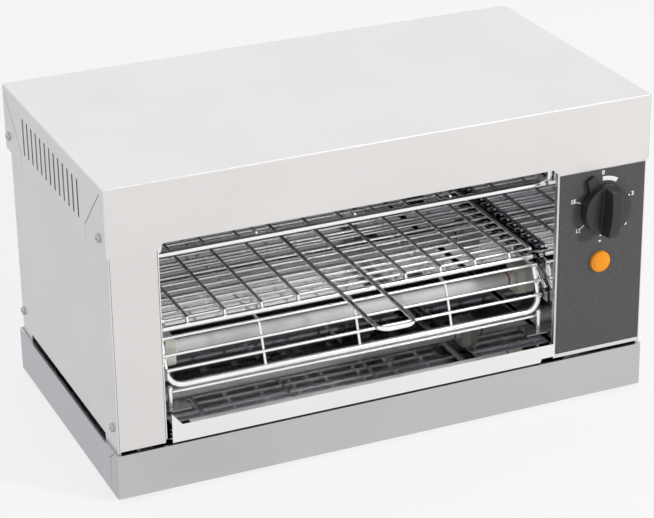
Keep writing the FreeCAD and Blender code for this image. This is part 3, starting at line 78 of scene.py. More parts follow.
def angle(name, description, degrees):
    return bpy.props.FloatProperty(
        name=name, description=description, default=math.radians(degrees), subtype="ANGLE"
    )


def count(name, description, default):
    return bpy.props.IntProperty(name=name, description=description, default=default, min=1)


def colour(name, description, default):
    return bpy.props.FloatVectorProperty(
        name=name, description=description, default=default, size=3, subtype="COLOR", min=0, max=1
    )


def factor(name, description, default):
    return bpy.props.FloatProperty(
        name=name, description=description, default=default, min=0, subtype="FACTOR"
    )


class RackSettings(bpy.types.PropertyGroup):
    """Sizes of the sliding rack."""

    cross_wire: length("Cross wire", "Wire from side to side", 2.6 * MM)
    cross_count: count("Cross wires", "Wires from side to side", 15)
    cross_pitch: length("Cross wire spacing", "From wire to wire", 11.6 * MM)
    long_wire: length("Long wire", "Wire from front to back", 2.8 * MM)
    long_count: count("Long wires", "Wires from front to back, the handle's arms among them", 10)
    long_pitch: length("Long wire spacing", "From wire to wire", 29.6 * MM)
    side_inset: length("Side wire inset", "Side wire from the ends of the cross wires", 1.8 * MM)
    front_bar: length("Front bar", "Thick bar along the front", 4.5 * MM)
    bend: length("Bend", "Bend of the long wires down to the front bar", 3.5 * MM)
    handle_wire: length("Handle wire", "Wire of the loop handle", 3.4 * MM)
    handle_corner: length("Handle corner", "Bend of the loop handle", 9 * MM)
    weld: length("Weld bead", "Bead where two wires cross", 1.5 * MM)


class GuardSettings(bpy.types.PropertyGroup):
    """Sizes of the wire guards over the heating tubes."""

    rod: length("Frame rod", "Rod round the guard", 4.5 * MM)
    wire: length("Wire", "Wires across the guard", 2.4 * MM)
    wire_count: count("Top wires", "Wires on the level part", 7)
    wire_pitch: length("Wire spacing", "From wire to wire", 25 * MM)
    bays: count("Bays", "Bays between the long wires", 4)
    overhang: length("Overhang", "Wire ends beyond the middle of the rod", 2.2 * MM)
    level: length("Lower guard level", "Axis of its top above the table", 112 * MM)
    shoulder: length("Shoulder", "Upper bend of the lower guard behind the front", 27.5 * MM)
    toe: length("Toe", "Front rod of the lower guard behind the front", 16 * MM)
    toe_level: length("Toe level", "Front rod of the lower guard above the table", 79 * MM)
    bend: length("Shoulder bend", "Bend of the shoulder", 8 * MM)
    corner: length("Corner bend", "Bend of the front corners", 12 * MM)
    slope_drop: length("First slope wire", "Down the slope, from the bend", 11.5 * MM)
    slope_pitch: length("Slope spacing", "From wire to wire down the slope", 11 * MM)
    foot: length("Foot rod", "Rod of the feet and of the upper side rods", 4 * MM)
    foot_length: length("Foot length", "Foot below the front rod", 19 * MM)
    foot_inset: length("Foot inset", "Foot inside the middle of the side rod", 1.3 * MM)
    tie: length("Tie wire", "Tie wire and stays", 3 * MM)
    tie_drop: length("Tie wire drop", "Tie wire below the front rod", 6.4 * MM)
    stay_start: length("Stay start", "Top of the stay behind the shoulder", 3.5 * MM)
    stay_end: length("Stay end", "Foot of the stay behind the front", 14 * MM)
    stay_level: length("Stay level", "Foot of the stay above the table", 97.8 * MM)
    upper_level: length("Upper guard level", "Axis of its side rods", 187 * MM)
    upper_bar: length("Upper front rod", "Behind the front of the hood", 22 * MM)
    upper_hook: length("Upper hook", "Upturned ends behind the front", 12 * MM)
    upper_rise: length("Upper hook rise", "Upturned ends above the side rods", 11 * MM)


class HeaterSettings(bpy.types.PropertyGroup):
    """Sizes of the quartz tubes and their coils."""

    wall: length("Tube wall", "Wall of a quartz tube", 1.2 * MM)
    coil: length("Coil", "Outside of the wound wire", 6 * MM)
    coil_wire: length("Coil wire", "Wire that the coil is wound from", 0.7 * MM)
    coil_pitch: length("Coil pitch", "From turn to turn", 2.4 * MM)
    band: length("Colour band", "Width of the coloured band at a tube's right end", 1.6 * MM)
    band_inset: length("Band inset", "Band from the right cap", 6 * MM)


class KnobSettings(bpy.types.PropertyGroup):
    """Sizes of the timer knob, its dial and the lamp."""

    diameter: length("Diameter", "Knob at the panel", 39.5 * MM)
    front_diameter: length("Front diameter", "Knob at its front", 38.4 * MM)
    skirt: length("Skirt", "Straight skirt at the panel", 4 * MM)
    height: length("Height", "Grip ahead of the panel, in its middle", 22 * MM)
    grip: length("Grip", "Width of the grip at its front", 8.8 * MM)
    grip_foot: length("Grip foot", "Width of the grip at the flanks", 10.4 * MM)
    grip_depth: length("Grip depth", "Depth of the flanks", 13 * MM)
    grip_crown: length("Grip crown", "Fall of the grip's front from its middle to its ends", 3.4 * MM)
    grip_tilt: angle("Grip tilt", "Top of the grip to the right", 3.8)
    bore: length("Bore", "Hole for the shaft", 6.1 * MM)
    cap: length("Cap", "Solid front ahead of the bore", 2.5 * MM)
    pointer: angle("Pointer", "Left of the top", 26)
    pointer_root: length("Pointer root", "Width at the knob", 12 * MM)
    pointer_tip: length("Pointer tip", "Width at its end", 7 * MM)
    pointer_reach: length("Pointer reach", "Beyond the skirt", 9.5 * MM)
    pointer_sheet: length("Pointer thickness", "Along the axis", 3.5 * MM)
    softness: length("Edge softness", "Rounding of the moulded edges", 0.35 * MM)
    number_size: length("Number size", "Height of the lettering", 4.6 * MM)
    number_weight: length("Number weight", "Outline of the lettering spread by", 0.17 * MM)
    tick_inner: length("Tick start", "Ticks from the axis", 20.4 * MM)
    tick_outer: length("Tick end", "Ticks from the axis", 24.4 * MM)
    tick_width: length("Tick width", "Across a tick", 1.1 * MM)
    wedge_inner: length("Band start", "Band after zero, from the axis", 21.8 * MM)
    wedge_outer: length("Band end", "Band after zero, from the axis", 25.2 * MM)
    wedge_from: angle("Band from", "Clockwise from the top", -2)
    wedge_to: angle("Band to", "Clockwise from the top", 30)
    ink: length("Ink", "Thickness of the printing", 0.04 * MM)


class FinishSettings(bpy.types.PropertyGroup):
    """Colours of the finishes."""

    satin_steel: colour("Satin steel", "Hood, frame and side panels", (0.795, 0.775, 0.762))
    # The base tray's steel is a darker copy of the satin steel: painted shade for the shade near the floor.
    grey_steel: colour("Satin steel with painted shade", "Base tray", (0.575, 0.57, 0.58))
    polished_steel: colour("Polished steel", "Crumb tray and chamber walls", (0.9, 0.885, 0.87))
    # The chamber steel gets a very dark colour: painted shade for the shade inside the heating chamber.
    bright_steel: colour("Bright steel with painted shade", "Heating chamber", (0.24, 0.24, 0.25))
    chrome: colour("Chrome", "Rack and guards", (0.95, 0.95, 0.955))
    film: colour("Panel film", "Ground of the control panel", (0.046, 0.046, 0.0455))
    speck: colour("Panel speckle", "Specks of the control panel", (0.104, 0.104, 0.103))
    black: colour("Black plastic", "Knob", (0.018, 0.018, 0.018))
    orange: colour("Orange lens", "Pilot lamp", (0.78, 0.27, 0.008))
    quartz: colour("Quartz", "Heating tubes", (0.9, 0.9, 0.88))
    coil: colour("Resistance wire", "Heating coils", (0.35, 0.33, 0.3))
    ceramic: colour("Ceramic", "End caps", (0.64, 0.64, 0.57))
    zinc: colour("Zinc", "Screws and terminals", (0.5, 0.505, 0.51))
    rubber: colour("Rubber", "Feet", (0.04, 0.04, 0.04))
    ink: colour("White ink", "Numbers and marks", (0.82, 0.82, 0.8))
    band: colour("Colour band", "Band on the tubes", (0.4, 0.11, 0.09))


class StageSettings(bpy.types.PropertyGroup):
    """Floor, lights and camera."""

    floor: colour("Floor", "Colour of the floor", (0.9, 0.9, 0.9))
    glow: factor("White share", "Share of the floor that is seen as plain white", 0.75)
    fill: factor("Fill", "Light from all round", 0.62)
    key: bpy.props.FloatProperty(name="Key light", description="Power", default=46, unit="POWER")
    glint: bpy.props.FloatProperty(name="Glint light", description="Power", default=3.6, unit="POWER")
    yaw: angle("Yaw", "Camera to the left of the front", 23.396)
    pitch: angle("Pitch", "Camera above the level", 24.267)
    roll: angle("Roll", "Camera about its own axis", -0.858)
    distance: length("Distance", "Camera from the aim point", 1.90549)
    aim_right: length("Aim to the right", "Middle of the picture", 0.96 * MM)
    aim_up: length("Aim up", "Middle of the picture", 93.25 * MM)
    focal_pixels: bpy.props.FloatProperty(
        name="Focal length", description="In pixels of the photograph", default=2354.3
    )
    sensor: bpy.props.FloatProperty(name="Sensor", description="Width in mm", default=36)


class ToasterSettings(bpy.types.PropertyGroup):
    """All settings of the toaster."""

    rack: bpy.props.PointerProperty(type=RackSettings)
    guards: bpy.props.PointerProperty(type=GuardSettings)
    heaters: bpy.props.PointerProperty(type=HeaterSettings)
    knob: bpy.props.PointerProperty(type=KnobSettings)
    finishes: bpy.props.PointerProperty(type=FinishSettings)
    stage: bpy.props.PointerProperty(type=StageSettings)


# Surfaces: a patch is a set of points, its quads, and the rings that close its open ends


def patch(points, round_rows=False, round_columns=True, capped=True):
    """Quads between the neighbours of a grid of points. Rows, columns or both may run round and
    meet themselves, and flat faces close the first and the last row."""
    rows, columns = points.shape[:2]
    index = np.arange(rows * columns).reshape(rows, columns)
    ends = [index[0].tolist(), index[-1].tolist()] if capped and not round_rows else []
    if round_rows:
        index = np.vstack([index, index[:1]])
    if round_columns:
        index = np.hstack([index, index[:, :1]])
    quads = np.stack([index[:-1, :-1], index[:-1, 1:], index[1:, 1:], index[1:, :-1]], axis=-1)
    return points.reshape(-1, 3), quads.reshape(-1, 4), ends


def turn(sides):
    """Cosines and sines of one full turn in equal steps."""
    angles = np.arange(sides) * (2 * np.pi / sides)
    return np.cos(angles)[:, None], np.sin(angles)[:, None]


def unit(vectors):
    return vectors / np.linalg.norm(vectors, axis=-1, keepdims=True)


def wire(path, square, diameter, sides=16):
    """A round wire: at each point of the path a circle of the wire's radius stands square to the
    run of the path, spanned by the direction `square` and its cross product with the run. The
    first and last circles are 0.75 of the radius, which bevels the cut ends."""
    path = np.asarray(path, dtype=float)
    radius = diameter / 2
    run = unit(np.gradient(path, axis=0))
    bevel = 0.25 * radius
    path = np.vstack([path[:1], path[:1] + run[:1] * bevel, path[1:-1], path[-1:] - run[-1:] * bevel, path[-1:]])
    run = np.vstack([run[:1], run, run[-1:]])
    square = np.broadcast_to(np.asarray(square, dtype=float), run.shape)
    other = np.cross(run, square)
    radii = np.full(len(path), radius)
    radii[[0, -1]] = 0.75 * radius
    cosine, sine = turn(sides)
    rings = square[:, None] * cosine + other[:, None] * sine
    return patch(path[:, None] + radii[:, None, None] * rings)


def straight(start, end, diameter, square=(0, 0, 1), sides=16):
    return wire([start, end], square, diameter, sides)


def rounded_path(corners, radii, steps=10):
    """Straight runs joined by arcs. Each arc touches both runs, at radius times the tangent of
    half the turn from the corner, and its centre lies on the line that halves the corner."""
    corners = [Vector(corner) for corner in corners]
    stretches = [np.array([corners[0]])]
    for before, corner, after, radius in zip(corners, corners[1:], corners[2:], radii):
        arrive = (corner - before).normalized()
        leave = (after - corner).normalized()
        turned = arrive.angle(leave)
        centre = corner + (leave - arrive).normalized() * (radius / math.cos(turned / 2))
        start = corner - arrive * (radius * math.tan(turned / 2))
        outward = np.array((start - centre).normalized())
        sweep = np.linspace(0, turned, steps + 1)[:, None]
        arc = radius * (np.cos(sweep) * outward + np.sin(sweep) * np.array(arrive))
        stretches.append(np.array(centre) + arc)
    stretches.append(np.array([corners[-1]]))
    return np.vstack(stretches)


def beads(centres, size):
    """The same small ellipsoid at every centre: a ring of latitudes, each scaled by its cosine."""
    latitude = np.linspace(-0.5, 0.5, 6)[:, None, None] * np.pi
    cosine, sine = turn(8)
    level = np.ones_like(cosine)
    ring = np.concatenate([cosine, sine, level], axis=1)
    scale = np.concatenate([np.cos(latitude), np.cos(latitude), np.sin(latitude)], axis=2)
    ball, quads, _ = patch(ring * scale * np.asarray(size), capped=False)
    centres = np.asarray(centres, dtype=float)
    points = centres[:, None] + ball
    steps = np.arange(len(centres))[:, None, None] * len(ball)
    return points.reshape(-1, 3), (quads + steps).reshape(-1, 4), []


def lathe(profile, origin, axis, side, sides=48, closed=False):
    """A profile of (distance along the axis, radius) turned once about the axis. `side` is the
    direction at which the turn starts. A closed profile comes back to its first point."""
    along, radius = np.array(profile, dtype=float).T[:, :, None, None]
    axis, side = np.asarray(axis, dtype=float), np.asarray(side, dtype=float)
    cosine, sine = turn(sides)
    rings = side * cosine + np.cross(axis, side) * sine
    return patch(np.asarray(origin) + along * axis + radius * rings, round_rows=closed)


def add_piece(name, patches, body, finish, replaced=(), slot=None, crease=35):
    """One object from several patches: its poles are merged, its faces turned outwards, and its
    edges sharper than the crease angle stay crisp."""
    starts = np.cumsum([0] + [len(points) for points, _, _ in patches])
    points = np.concatenate([points for points, _, _ in patches])
    quads = np.concatenate([quads + start for (_, quads, _), start in zip(patches, starts)])
    caps = [
        [corner + int(start) for corner in ring]
        for (_, _, rings), start in zip(patches, starts)
        for ring in rings
    ]
    mesh = bpy.data.meshes.new(name)
    mesh.from_pydata(points, [], quads.tolist() + caps)
    work = bmesh.new()
    work.from_mesh(mesh)
    bmesh.ops.remove_doubles(work, verts=work.verts, dist=1e-6)
    bmesh.ops.recalc_face_normals(work, faces=work.faces)
    work.to_mesh(mesh)
    work.free()
    mesh.shade_smooth()
    mesh.set_sharp_from_angle(angle=math.radians(crease))
    mesh.materials.append(bpy.data.materials[finish])
    piece = bpy.data.objects.new(name, mesh)
    bpy.context.scene.collection.objects.link(piece)
    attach(piece, body)
    if replaced:
        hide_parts(*replaced)
    return piece


# Finishes


def new_finish(name, **sockets):
    """A material whose even values are set straight on the shader."""
    finish = bpy.data.materials.new(name)
    finish.use_nodes = True
    shader = finish.node_tree.nodes["Principled BSDF"]
    for socket, value in sockets.items():
        shader.inputs[socket.replace("_", " ")].default_value = value
    return finish.node_tree, shader


def add_node(tree, kind, inputs, **settings):
    """A node with its settings, and its sockets either linked or given a value."""
    node = tree.nodes.new("ShaderNode" + kind)
    for name, value in settings.items():
        setattr(node, name, value)
    for name, value in inputs.items():
        if isinstance(value, bpy.types.NodeSocket):
            tree.links.new(value, node.inputs[name])
        else:
            node.inputs[name].default_value = value
    return node


def object_place(tree):
    return tree.nodes.new("ShaderNodeTexCoord").outputs["Object"]


def noise(tree, place, scale, detail=2.0, roughness=0.5):
    inputs = {"Vector": place, "Scale": scale, "Detail": detail, "Roughness": roughness}
    return add_node(tree, "TexNoise", inputs).outputs["Fac"]


def stretched(tree, place, scale):
    return add_node(tree, "Mapping", {"Vector": place, "Scale": scale}).outputs["Vector"]


def spread(tree, value, low, high, start=0.3, end=0.7):
    """The middle of a noise, spread over a new range."""
    inputs = {"Value": value, "From Min": start, "From Max": end, "To Min": low, "To Max": high}
    return add_node(tree, "MapRange", inputs).outputs["Result"]


def tint(tree, fac, first, second):
    """A colour between two colours."""
    ramp = add_node(tree, "ValToRGB", {"Fac": fac})
    ramp.color_ramp.elements[0].color = (*first, 1)
    ramp.color_ramp.elements[1].color = (*second, 1)
    return ramp.outputs["Color"]


def shade(colour_value, amount):
    return tuple(min(1.0, channel * amount) for channel in colour_value)


def bump(tree, shader, height, strength, distance):
    inputs = {"Height": height, "Strength": strength, "Distance": distance}
    tree.links.new(add_node(tree, "Bump", inputs).outputs["Normal"], shader.inputs["Normal"])


def brushed(tree, shader, base, fine, low, high, depth):
    """Fine lines: a noise stretched along X, or along Y on faces that look sideways. Those faces
    are also painted darker, a painted shade, and faces that look up or sideways get a cooler
    tint, a painted reflection. The same lines vary the roughness, and a broad noise clouds the
    colour a little."""
    place = tree.nodes.new("ShaderNodeTexCoord")
    facing = add_node(tree, "SeparateXYZ", {"Vector": place.outputs["Normal"]})
    sideways_grain_and_shade = add_node(tree, "Math", {0: facing.outputs["X"]}, operation="ABSOLUTE")
    sideways_grain_and_shade = add_node(tree, "Math", {0: sideways_grain_and_shade.outputs[0], 1: 0.6}, operation="GREATER_THAN")
    along_x = stretched(tree, place.outputs["Object"], (0.012, 1, 1))
    along_y = stretched(tree, place.outputs["Object"], (1, 0.012, 1))
    inputs = {"Factor": sideways_grain_and_shade.outputs[0], "A": along_x, "B": along_y}
    pick = tree.nodes.new("ShaderNodeMix")
    pick.data_type = "VECTOR"
    for name, value in inputs.items():
        sockets = [socket for socket in pick.inputs if socket.name == name and socket.enabled]
        tree.links.new(value, sockets[0])
    chosen = [socket for socket in pick.outputs if socket.enabled][0]
    lines = noise(tree, chosen, fine, 4, 0.6)
    cloud = noise(tree, place.outputs["Object"], 9, 3, 0.55)
    tree.links.new(spread(tree, lines, low, high), shader.inputs["Roughness"])
    # painted shade: faces that look sideways are darkened by 0.6 on the colour ramp
    inputs = {0: sideways_grain_and_shade.outputs[0], 1: -0.6, 2: spread(tree, cloud, 0.8, 1)}
    tone_and_side_shade = add_node(tree, "Math", inputs, operation="MULTIPLY_ADD").outputs[0]
    forward = add_node(tree, "Math", {0: facing.outputs["Y"]}, operation="ABSOLUTE")
    turned = add_node(tree, "Math", {0: forward.outputs[0], 1: 0.6}, operation="LESS_THAN")
    # painted reflection: faces that do not look forward or back are tinted cooler
    painted_cool_reflection = tuple(channel * part for channel, part in zip(base, (1, 1.028, 1.062)))
    inputs = {
        "Fac": turned.outputs[0],
        "Color1": tint(tree, tone_and_side_shade, shade(base, 0.75), shade(base, 1.02)),
        "Color2": tint(tree, tone_and_side_shade, shade(painted_cool_reflection, 0.75), shade(painted_cool_reflection, 1.02)),
    }
    tree.links.new(add_node(tree, "MixRGB", inputs).outputs["Color"], shader.inputs["Base Color"])
    bump(tree, shader, lines, depth, 0.00004)


def satin_steel(f):
    tree, shader = new_finish("satin_steel", Metallic=1.0)
    brushed(tree, shader, f.satin_steel, 2600, 0.3, 0.42, 0.22)


# A darker copy of the satin steel for the base tray, painted shade.
def grey_steel(f):
    tree, shader = new_finish("grey_satin_steel", Metallic=1.0)
    brushed(tree, shader, f.grey_steel, 2600, 0.32, 0.44, 0.22)


def polished_steel(f):
    tree, shader = new_finish("polished_steel", Metallic=1.0)
    brushed(tree, shader, f.polished_steel, 1500, 0.03, 0.07, 0.012)


def bright_steel(f):
    # The very dark colour of this steel is painted shade for the shade inside the chamber.
    tree, shader = new_finish("bright_chamber_steel", Metallic=1.0)
    brushed(tree, shader, f.bright_steel, 1500, 0.02, 0.06, 0.03)


def chrome(f):
    """Bright plating, a little dull where the wire was drawn and handled."""
    tree, shader = new_finish("plated_wire", Metallic=1.0)
    place = object_place(tree)
    spots = noise(tree, place, 160, 3)
    tree.links.new(spread(tree, spots, 0.05, 0.13), shader.inputs["Roughness"])
    cloud = spread(tree, noise(tree, place, 30, 2), 0, 1)
    tree.links.new(tint(tree, cloud, shade(f.chrome, 0.93), f.chrome), shader.inputs["Base Color"])
    bump(tree, shader, noise(tree, place, 900, 2), 0.05, 0.00005)


def panel_film(f):
    """Dark film with fine light specks, and a faint orange peel."""
    tree, shader = new_finish("speckled_panel_film", Specular_IOR_Level=0.4)
    place = object_place(tree)
    specks = noise(tree, place, 2100, 2, 0.7)
    fine = spread(tree, specks, 0, 1, 0.45, 0.72)
    tree.links.new(tint(tree, fine, f.film, f.speck), shader.inputs["Base Color"])
    tree.links.new(spread(tree, specks, 0.42, 0.6), shader.inputs["Roughness"])
    bump(tree, shader, specks, 0.12, 0.00008)


def black_plastic(f):
    tree, shader = new_finish("moulded_black_plastic", Specular_IOR_Level=0.45)
    place = object_place(tree)
    grain = noise(tree, place, 1800, 2)
    cloud = spread(tree, noise(tree, place, 40, 2), 0, 1)
    tree.links.new(tint(tree, cloud, f.black, shade(f.black, 1.5)), shader.inputs["Base Color"])
    tree.links.new(spread(tree, grain, 0.28, 0.4), shader.inputs["Roughness"])
    bump(tree, shader, grain, 0.08, 0.0001)


def orange_lens(f):
    """Tinted plastic with rings moulded inside, centred on the lamp, and a faint painted glow in the same colour."""
    tree, shader = new_finish("orange_lens", Roughness=0.12, Specular_IOR_Level=0.25)
    low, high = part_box("lamp_lens")
    middle = (low + high) / 2
    inputs = {"Vector": object_place(tree), "Location": -middle}
    centred = add_node(tree, "Mapping", inputs).outputs["Vector"]
    rings = add_node(
        tree, "TexWave", {"Vector": centred, "Scale": 190}, wave_type="RINGS", rings_direction="Y"
    )
    rings = rings.outputs["Fac"]
    shaded = tint(tree, rings, shade(f.orange, 0.78), shade(f.orange, 1.04))
    tree.links.new(shaded, shader.inputs["Base Color"])
    # painted glow: the unlit lens glows faintly in its own colour
    tree.links.new(shaded, shader.inputs["Emission Color"])
    shader.inputs["Emission Strength"].default_value = 0.06
    bump(tree, shader, rings, 0.12, 0.0003)


def quartz(f):
    """Frosted quartz: cloudy along the tube, with fine drawn streaks."""
    tree, shader = new_finish("frosted_quartz", Transmission_Weight=0.2, IOR=1.46)
    place = object_place(tree)
    streaks = noise(tree, stretched(tree, place, (0.03, 1, 1)), 1200, 2)
    cloud = spread(tree, noise(tree, place, 35, 2), 0, 1)
    tree.links.new(
        tint(tree, cloud, shade(f.quartz, 0.93), shade(f.quartz, 1.06)),
        shader.inputs["Base Color"],
    )
    tree.links.new(spread(tree, streaks, 0.35, 0.5), shader.inputs["Roughness"])


def resistance_wire(f):
    tree, shader = new_finish("oxidised_wire", Metallic=1.0)
    scale = noise(tree, object_place(tree), 700, 3)
    tree.links.new(
        tint(tree, spread(tree, scale, 0, 1), shade(f.coil, 0.7), f.coil),
        shader.inputs["Base Color"],
    )
    tree.links.new(spread(tree, scale, 0.4, 0.6), shader.inputs["Roughness"])


def ceramic(f):
    """Unglazed body with fine pores and a little toasting."""
    tree, shader = new_finish("unglazed_ceramic", Specular_IOR_Level=0.3)
    place = object_place(tree)
    pores = noise(tree, place, 1400, 3, 0.7)
    warm = spread(tree, noise(tree, place, 60, 2), 0, 1)
    tree.links.new(
        tint(tree, warm, shade(f.ceramic, 0.82), f.ceramic), shader.inputs["Base Color"]
    )
    tree.links.new(spread(tree, pores, 0.7, 0.9), shader.inputs["Roughness"])
    bump(tree, shader, pores, 0.25, 0.0001)


def zinc(f):
    tree, shader = new_finish("zinc_plate", Metallic=1.0)
    place = object_place(tree)
    spangle = spread(tree, noise(tree, place, 700, 2), 0, 1)
    tree.links.new(tint(tree, spangle, shade(f.zinc, 0.86), f.zinc), shader.inputs["Base Color"])
    tree.links.new(spread(tree, noise(tree, place, 1500, 2), 0.2, 0.34), shader.inputs["Roughness"])


def rubber(f):
    tree, shader = new_finish("matt_rubber", Specular_IOR_Level=0.25)
    grain = noise(tree, object_place(tree), 1500, 3)
    dusty = spread(tree, grain, 0, 1)
    tree.links.new(tint(tree, dusty, f.rubber, shade(f.rubber, 1.6)), shader.inputs["Base Color"])
    tree.links.new(spread(tree, grain, 0.75, 0.9), shader.inputs["Roughness"])
    bump(tree, shader, grain, 0.2, 0.0001)


def white_ink(f):
    tree, shader = new_finish("printed_white_ink", Specular_IOR_Level=0.3)
    grain = noise(tree, object_place(tree), 2500, 2)
    tree.links.new(
        tint(tree, spread(tree, grain, 0, 1), shade(f.ink, 0.88), f.ink), shader.inputs["Base Color"]
    )
    tree.links.new(spread(tree, grain, 0.5, 0.7), shader.inputs["Roughness"])


def colour_band(f):
    tree, shader = new_finish("fired_red_band", Specular_IOR_Level=0.4)
    grain = noise(tree, object_place(tree), 900, 2)
    tree.links.new(
        tint(tree, spread(tree, grain, 0, 1), shade(f.band, 0.75), f.band), shader.inputs["Base Color"]
    )
    tree.links.new(spread(tree, grain, 0.35, 0.5), shader.inputs["Roughness"])


FINISH_OF_SLOT = {
    "brushed_steel": "satin_steel",
    "bright_steel": "bright_chamber_steel",
    "chrome_wire": "plated_wire",
    "panel_film": "speckled_panel_film",
    "black_plastic": "moulded_black_plastic",
    "lamp_orange": "orange_lens",
    "quartz": "frosted_quartz",
    "resistance_wire": "oxidised_wire",
    "ceramic": "unglazed_ceramic",
    "zinc_steel": "zinc_plate",
    "rubber": "matt_rubber",
}
FINISH_OF_NODE = {
    # the base tray gets the darker copy of the satin steel, painted shade
    "base_tray": "grey_satin_steel",
    "crumb_tray": "polished_steel",
    "left_chamber_wall": "polished_steel",
    "right_chamber_wall": "polished_steel",
}


class TOASTER_OT_finishes(bpy.types.Operator):
    """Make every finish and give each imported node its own"""

    bl_idname = "toaster.finishes"
    bl_label = "Finishes"

    def execute(self, context):
        f = context.scene.toaster.finishes
        for make in (
            satin_steel,
            grey_steel,
            polished_steel,
            bright_steel,
            chrome,
            panel_film,
            black_plastic,
            orange_lens,
            quartz,
            resistance_wire,
            ceramic,
            zinc,
            rubber,
            white_ink,
            colour_band,
        ):
            make(f)
        for subpart in frame["record"]["subparts"]:
            node = frame["nodes"][subpart["node"]]
            finish = FINISH_OF_SLOT[subpart["material_slot"]]
            finish = bpy.data.materials[FINISH_OF_NODE.get(subpart["node"], finish)]
            for material_slot in node.material_slots:
                material_slot.material = finish
        return {"FINISHED"}


# Rack and handle


def rack_wires(r):
    """Cross wires under long wires, side wires, the front bar, and a bead at every weld."""
    low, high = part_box("rack_grid")
    long_z = high.z - r.long_wire / 2
    cross_z = long_z - (r.long_wire + r.cross_wire) / 2
    bar_y, bar_z = low.y + r.front_bar / 2, low.z + r.front_bar / 2
    stub_z = bar_z + r.front_bar / 2
    first_y = high.y - r.cross_wire / 2 - (r.cross_count - 1) * r.cross_pitch
    rows = first_y + r.cross_pitch * np.arange(r.cross_count)
    patches = [straight((low.x, y, cross_z), (high.x, y, cross_z), r.cross_wire) for y in rows]
    patches.append(straight((low.x, bar_y, bar_z), (high.x, bar_y, bar_z), r.front_bar, sides=24))
    sides = [low.x + r.side_inset, high.x - r.side_inset]
    patches += [straight((x, bar_y, long_z), (x, high.y, long_z), r.long_wire) for x in sides]
    middle = (low.x + high.x) / 2
    places = (np.arange(r.long_count) - (r.long_count - 1) / 2) * r.long_pitch
    columns = middle + places[abs(places) > r.long_pitch]
    for x in columns:
        corners = [(x, high.y, long_z), (x, bar_y, long_z), (x, bar_y, stub_z)]
        patches.append(wire(rounded_path(corners, [r.bend]), (1, 0, 0), r.long_wire))
    weld_z = cross_z + r.cross_wire / 2
    welds = [(x, y, weld_z) for x in [*columns, *sides] for y in rows]
    patches.append(beads(welds, (r.weld, r.weld, 0.5 * r.weld)))
    stubs = [(x, bar_y, stub_z) for x in columns]
    patches.append(beads(stubs, (1.3 * r.weld, 1.3 * r.weld, 0.6 * r.weld)))
    return patches


def rack_handle(r):
    """One wire: two long arms over the cross wires and a rounded end ahead of the toaster."""
    low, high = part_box("rack_handle")
    half = r.handle_wire / 2
    z = (low.z + high.z) / 2
    left, right, tip = low.x + half, high.x - half, low.y + half
    corners = [(left, high.y, z), (left, tip, z), (right, tip, z), (right, high.y, z)]
    return [wire(rounded_path(corners, [r.handle_corner] * 2), (0, 0, 1), r.handle_wire, 20)]


class TOASTER_OT_rack(bpy.types.Operator):
    """Make the round, welded wires of the sliding rack and its handle"""

    bl_idname = "toaster.rack"
    bl_label = "Rack"

    def execute(self, context):
        r = context.scene.toaster.rack
        chrome_of = {"body": "wire_rack", "finish": "plated_wire", "slot": "chrome_wire"}
        add_piece("rack_wires", rack_wires(r), replaced=["rack_grid"], **chrome_of)
        add_piece("rack_loop_handle", rack_handle(r), replaced=["rack_handle"], **chrome_of)
        return {"FINISHED"}


# Guards


def lower_guard(g):
    """A frame rod that runs level, bends down at the shoulder and closes along the toe; wires
    across it on its outer side; and long wires that follow it from back to toe. The rod and
    the wires are given back apart."""
    low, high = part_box("lower_guard_frame")
    left, right = low.x + g.rod / 2, high.x - g.rod / 2
    back = Vector((0, high.y, g.level))
    shoulder = Vector((0, FRONT + g.shoulder, g.level))
    toe = Vector((0, FRONT + g.toe, g.toe_level))
    frame_line = [Vector((left, p.y, p.z)) for p in (back, shoulder, toe)]
    frame_line += [Vector((right, p.y, p.z)) for p in (toe, shoulder, back)]
    path = rounded_path(frame_line, [g.bend, g.corner, g.corner, g.bend], 14)
    down = (toe - shoulder).normalized()
    ahead = Vector((0, down.z, -down.y))
    above = Vector((0, 0, 1))
    # the rod lies in the level plane first and in the plane of the slope after the shoulder
    steepness = np.clip((g.level - path[:, 2]) / (g.bend * 0.5), 0, 1)[:, None]
    square = unit(np.array(above) * (1 - steepness) + np.array(ahead) * steepness)
    run = unit(np.gradient(path, axis=0))
    square = unit(square - run * np.sum(square * run, axis=1, keepdims=True))
    square = np.vstack([square[:1], square, square[-1:]])
    rod = [wire(path, square, g.rod, 24)]

    patches = []
    lift = (g.rod + g.wire) / 2
    crest = (above + ahead).normalized()
    half_turn = Vector((0, -1, 0)).angle(down) / 2
    bend_centre = shoulder - crest * (g.bend / math.cos(half_turn))
    first_drop = shoulder + down * g.slope_drop + ahead * lift
    spots = [bend_centre + crest * (g.bend + lift), first_drop, first_drop + down * g.slope_pitch]
    first_top = shoulder.y + g.bend + g.wire
    rows = first_top + g.wire_pitch * np.arange(g.wire_count)
    spots += [Vector((0, y, g.level + lift)) for y in rows]
    for spot in spots:
        ends = [(x, spot.y, spot.z) for x in (left - g.overhang, right + g.overhang)]
        patches.append(straight(*ends, g.wire, crest if spot is spots[0] else above))

    inner = lift - g.wire
    outer_shoulder = shoulder + (above + ahead) * (inner / (1 + above.dot(ahead)))
    long_front = toe - down * (g.rod / 2) + ahead * inner
    long_back = (rows[-1] + g.wire, g.level + inner)
    columns = [left + i * (right - left) / g.bays for i in range(1, g.bays)]
    for x in columns:
        corners = [(x, *long_back), (x, *outer_shoulder.yz), (x, *long_front.yz)]
        patches.append(wire(rounded_path(corners, [g.bend + inner]), (1, 0, 0), g.wire))
    welds = [(x, spot.y, spot.z) for x in (left, right) for spot in spots]
    patches.append(beads(np.array(welds) - (0, 0, g.wire / 2), (0.9 * g.wire,) * 2 + (0.5 * g.wire,)))
    welds = [(x, y, g.level + inner + g.wire / 2) for x in columns for y in rows]
    patches.append(beads(welds, (0.6 * g.wire, 0.6 * g.wire, 0.3 * g.wire)))
    return rod, patches


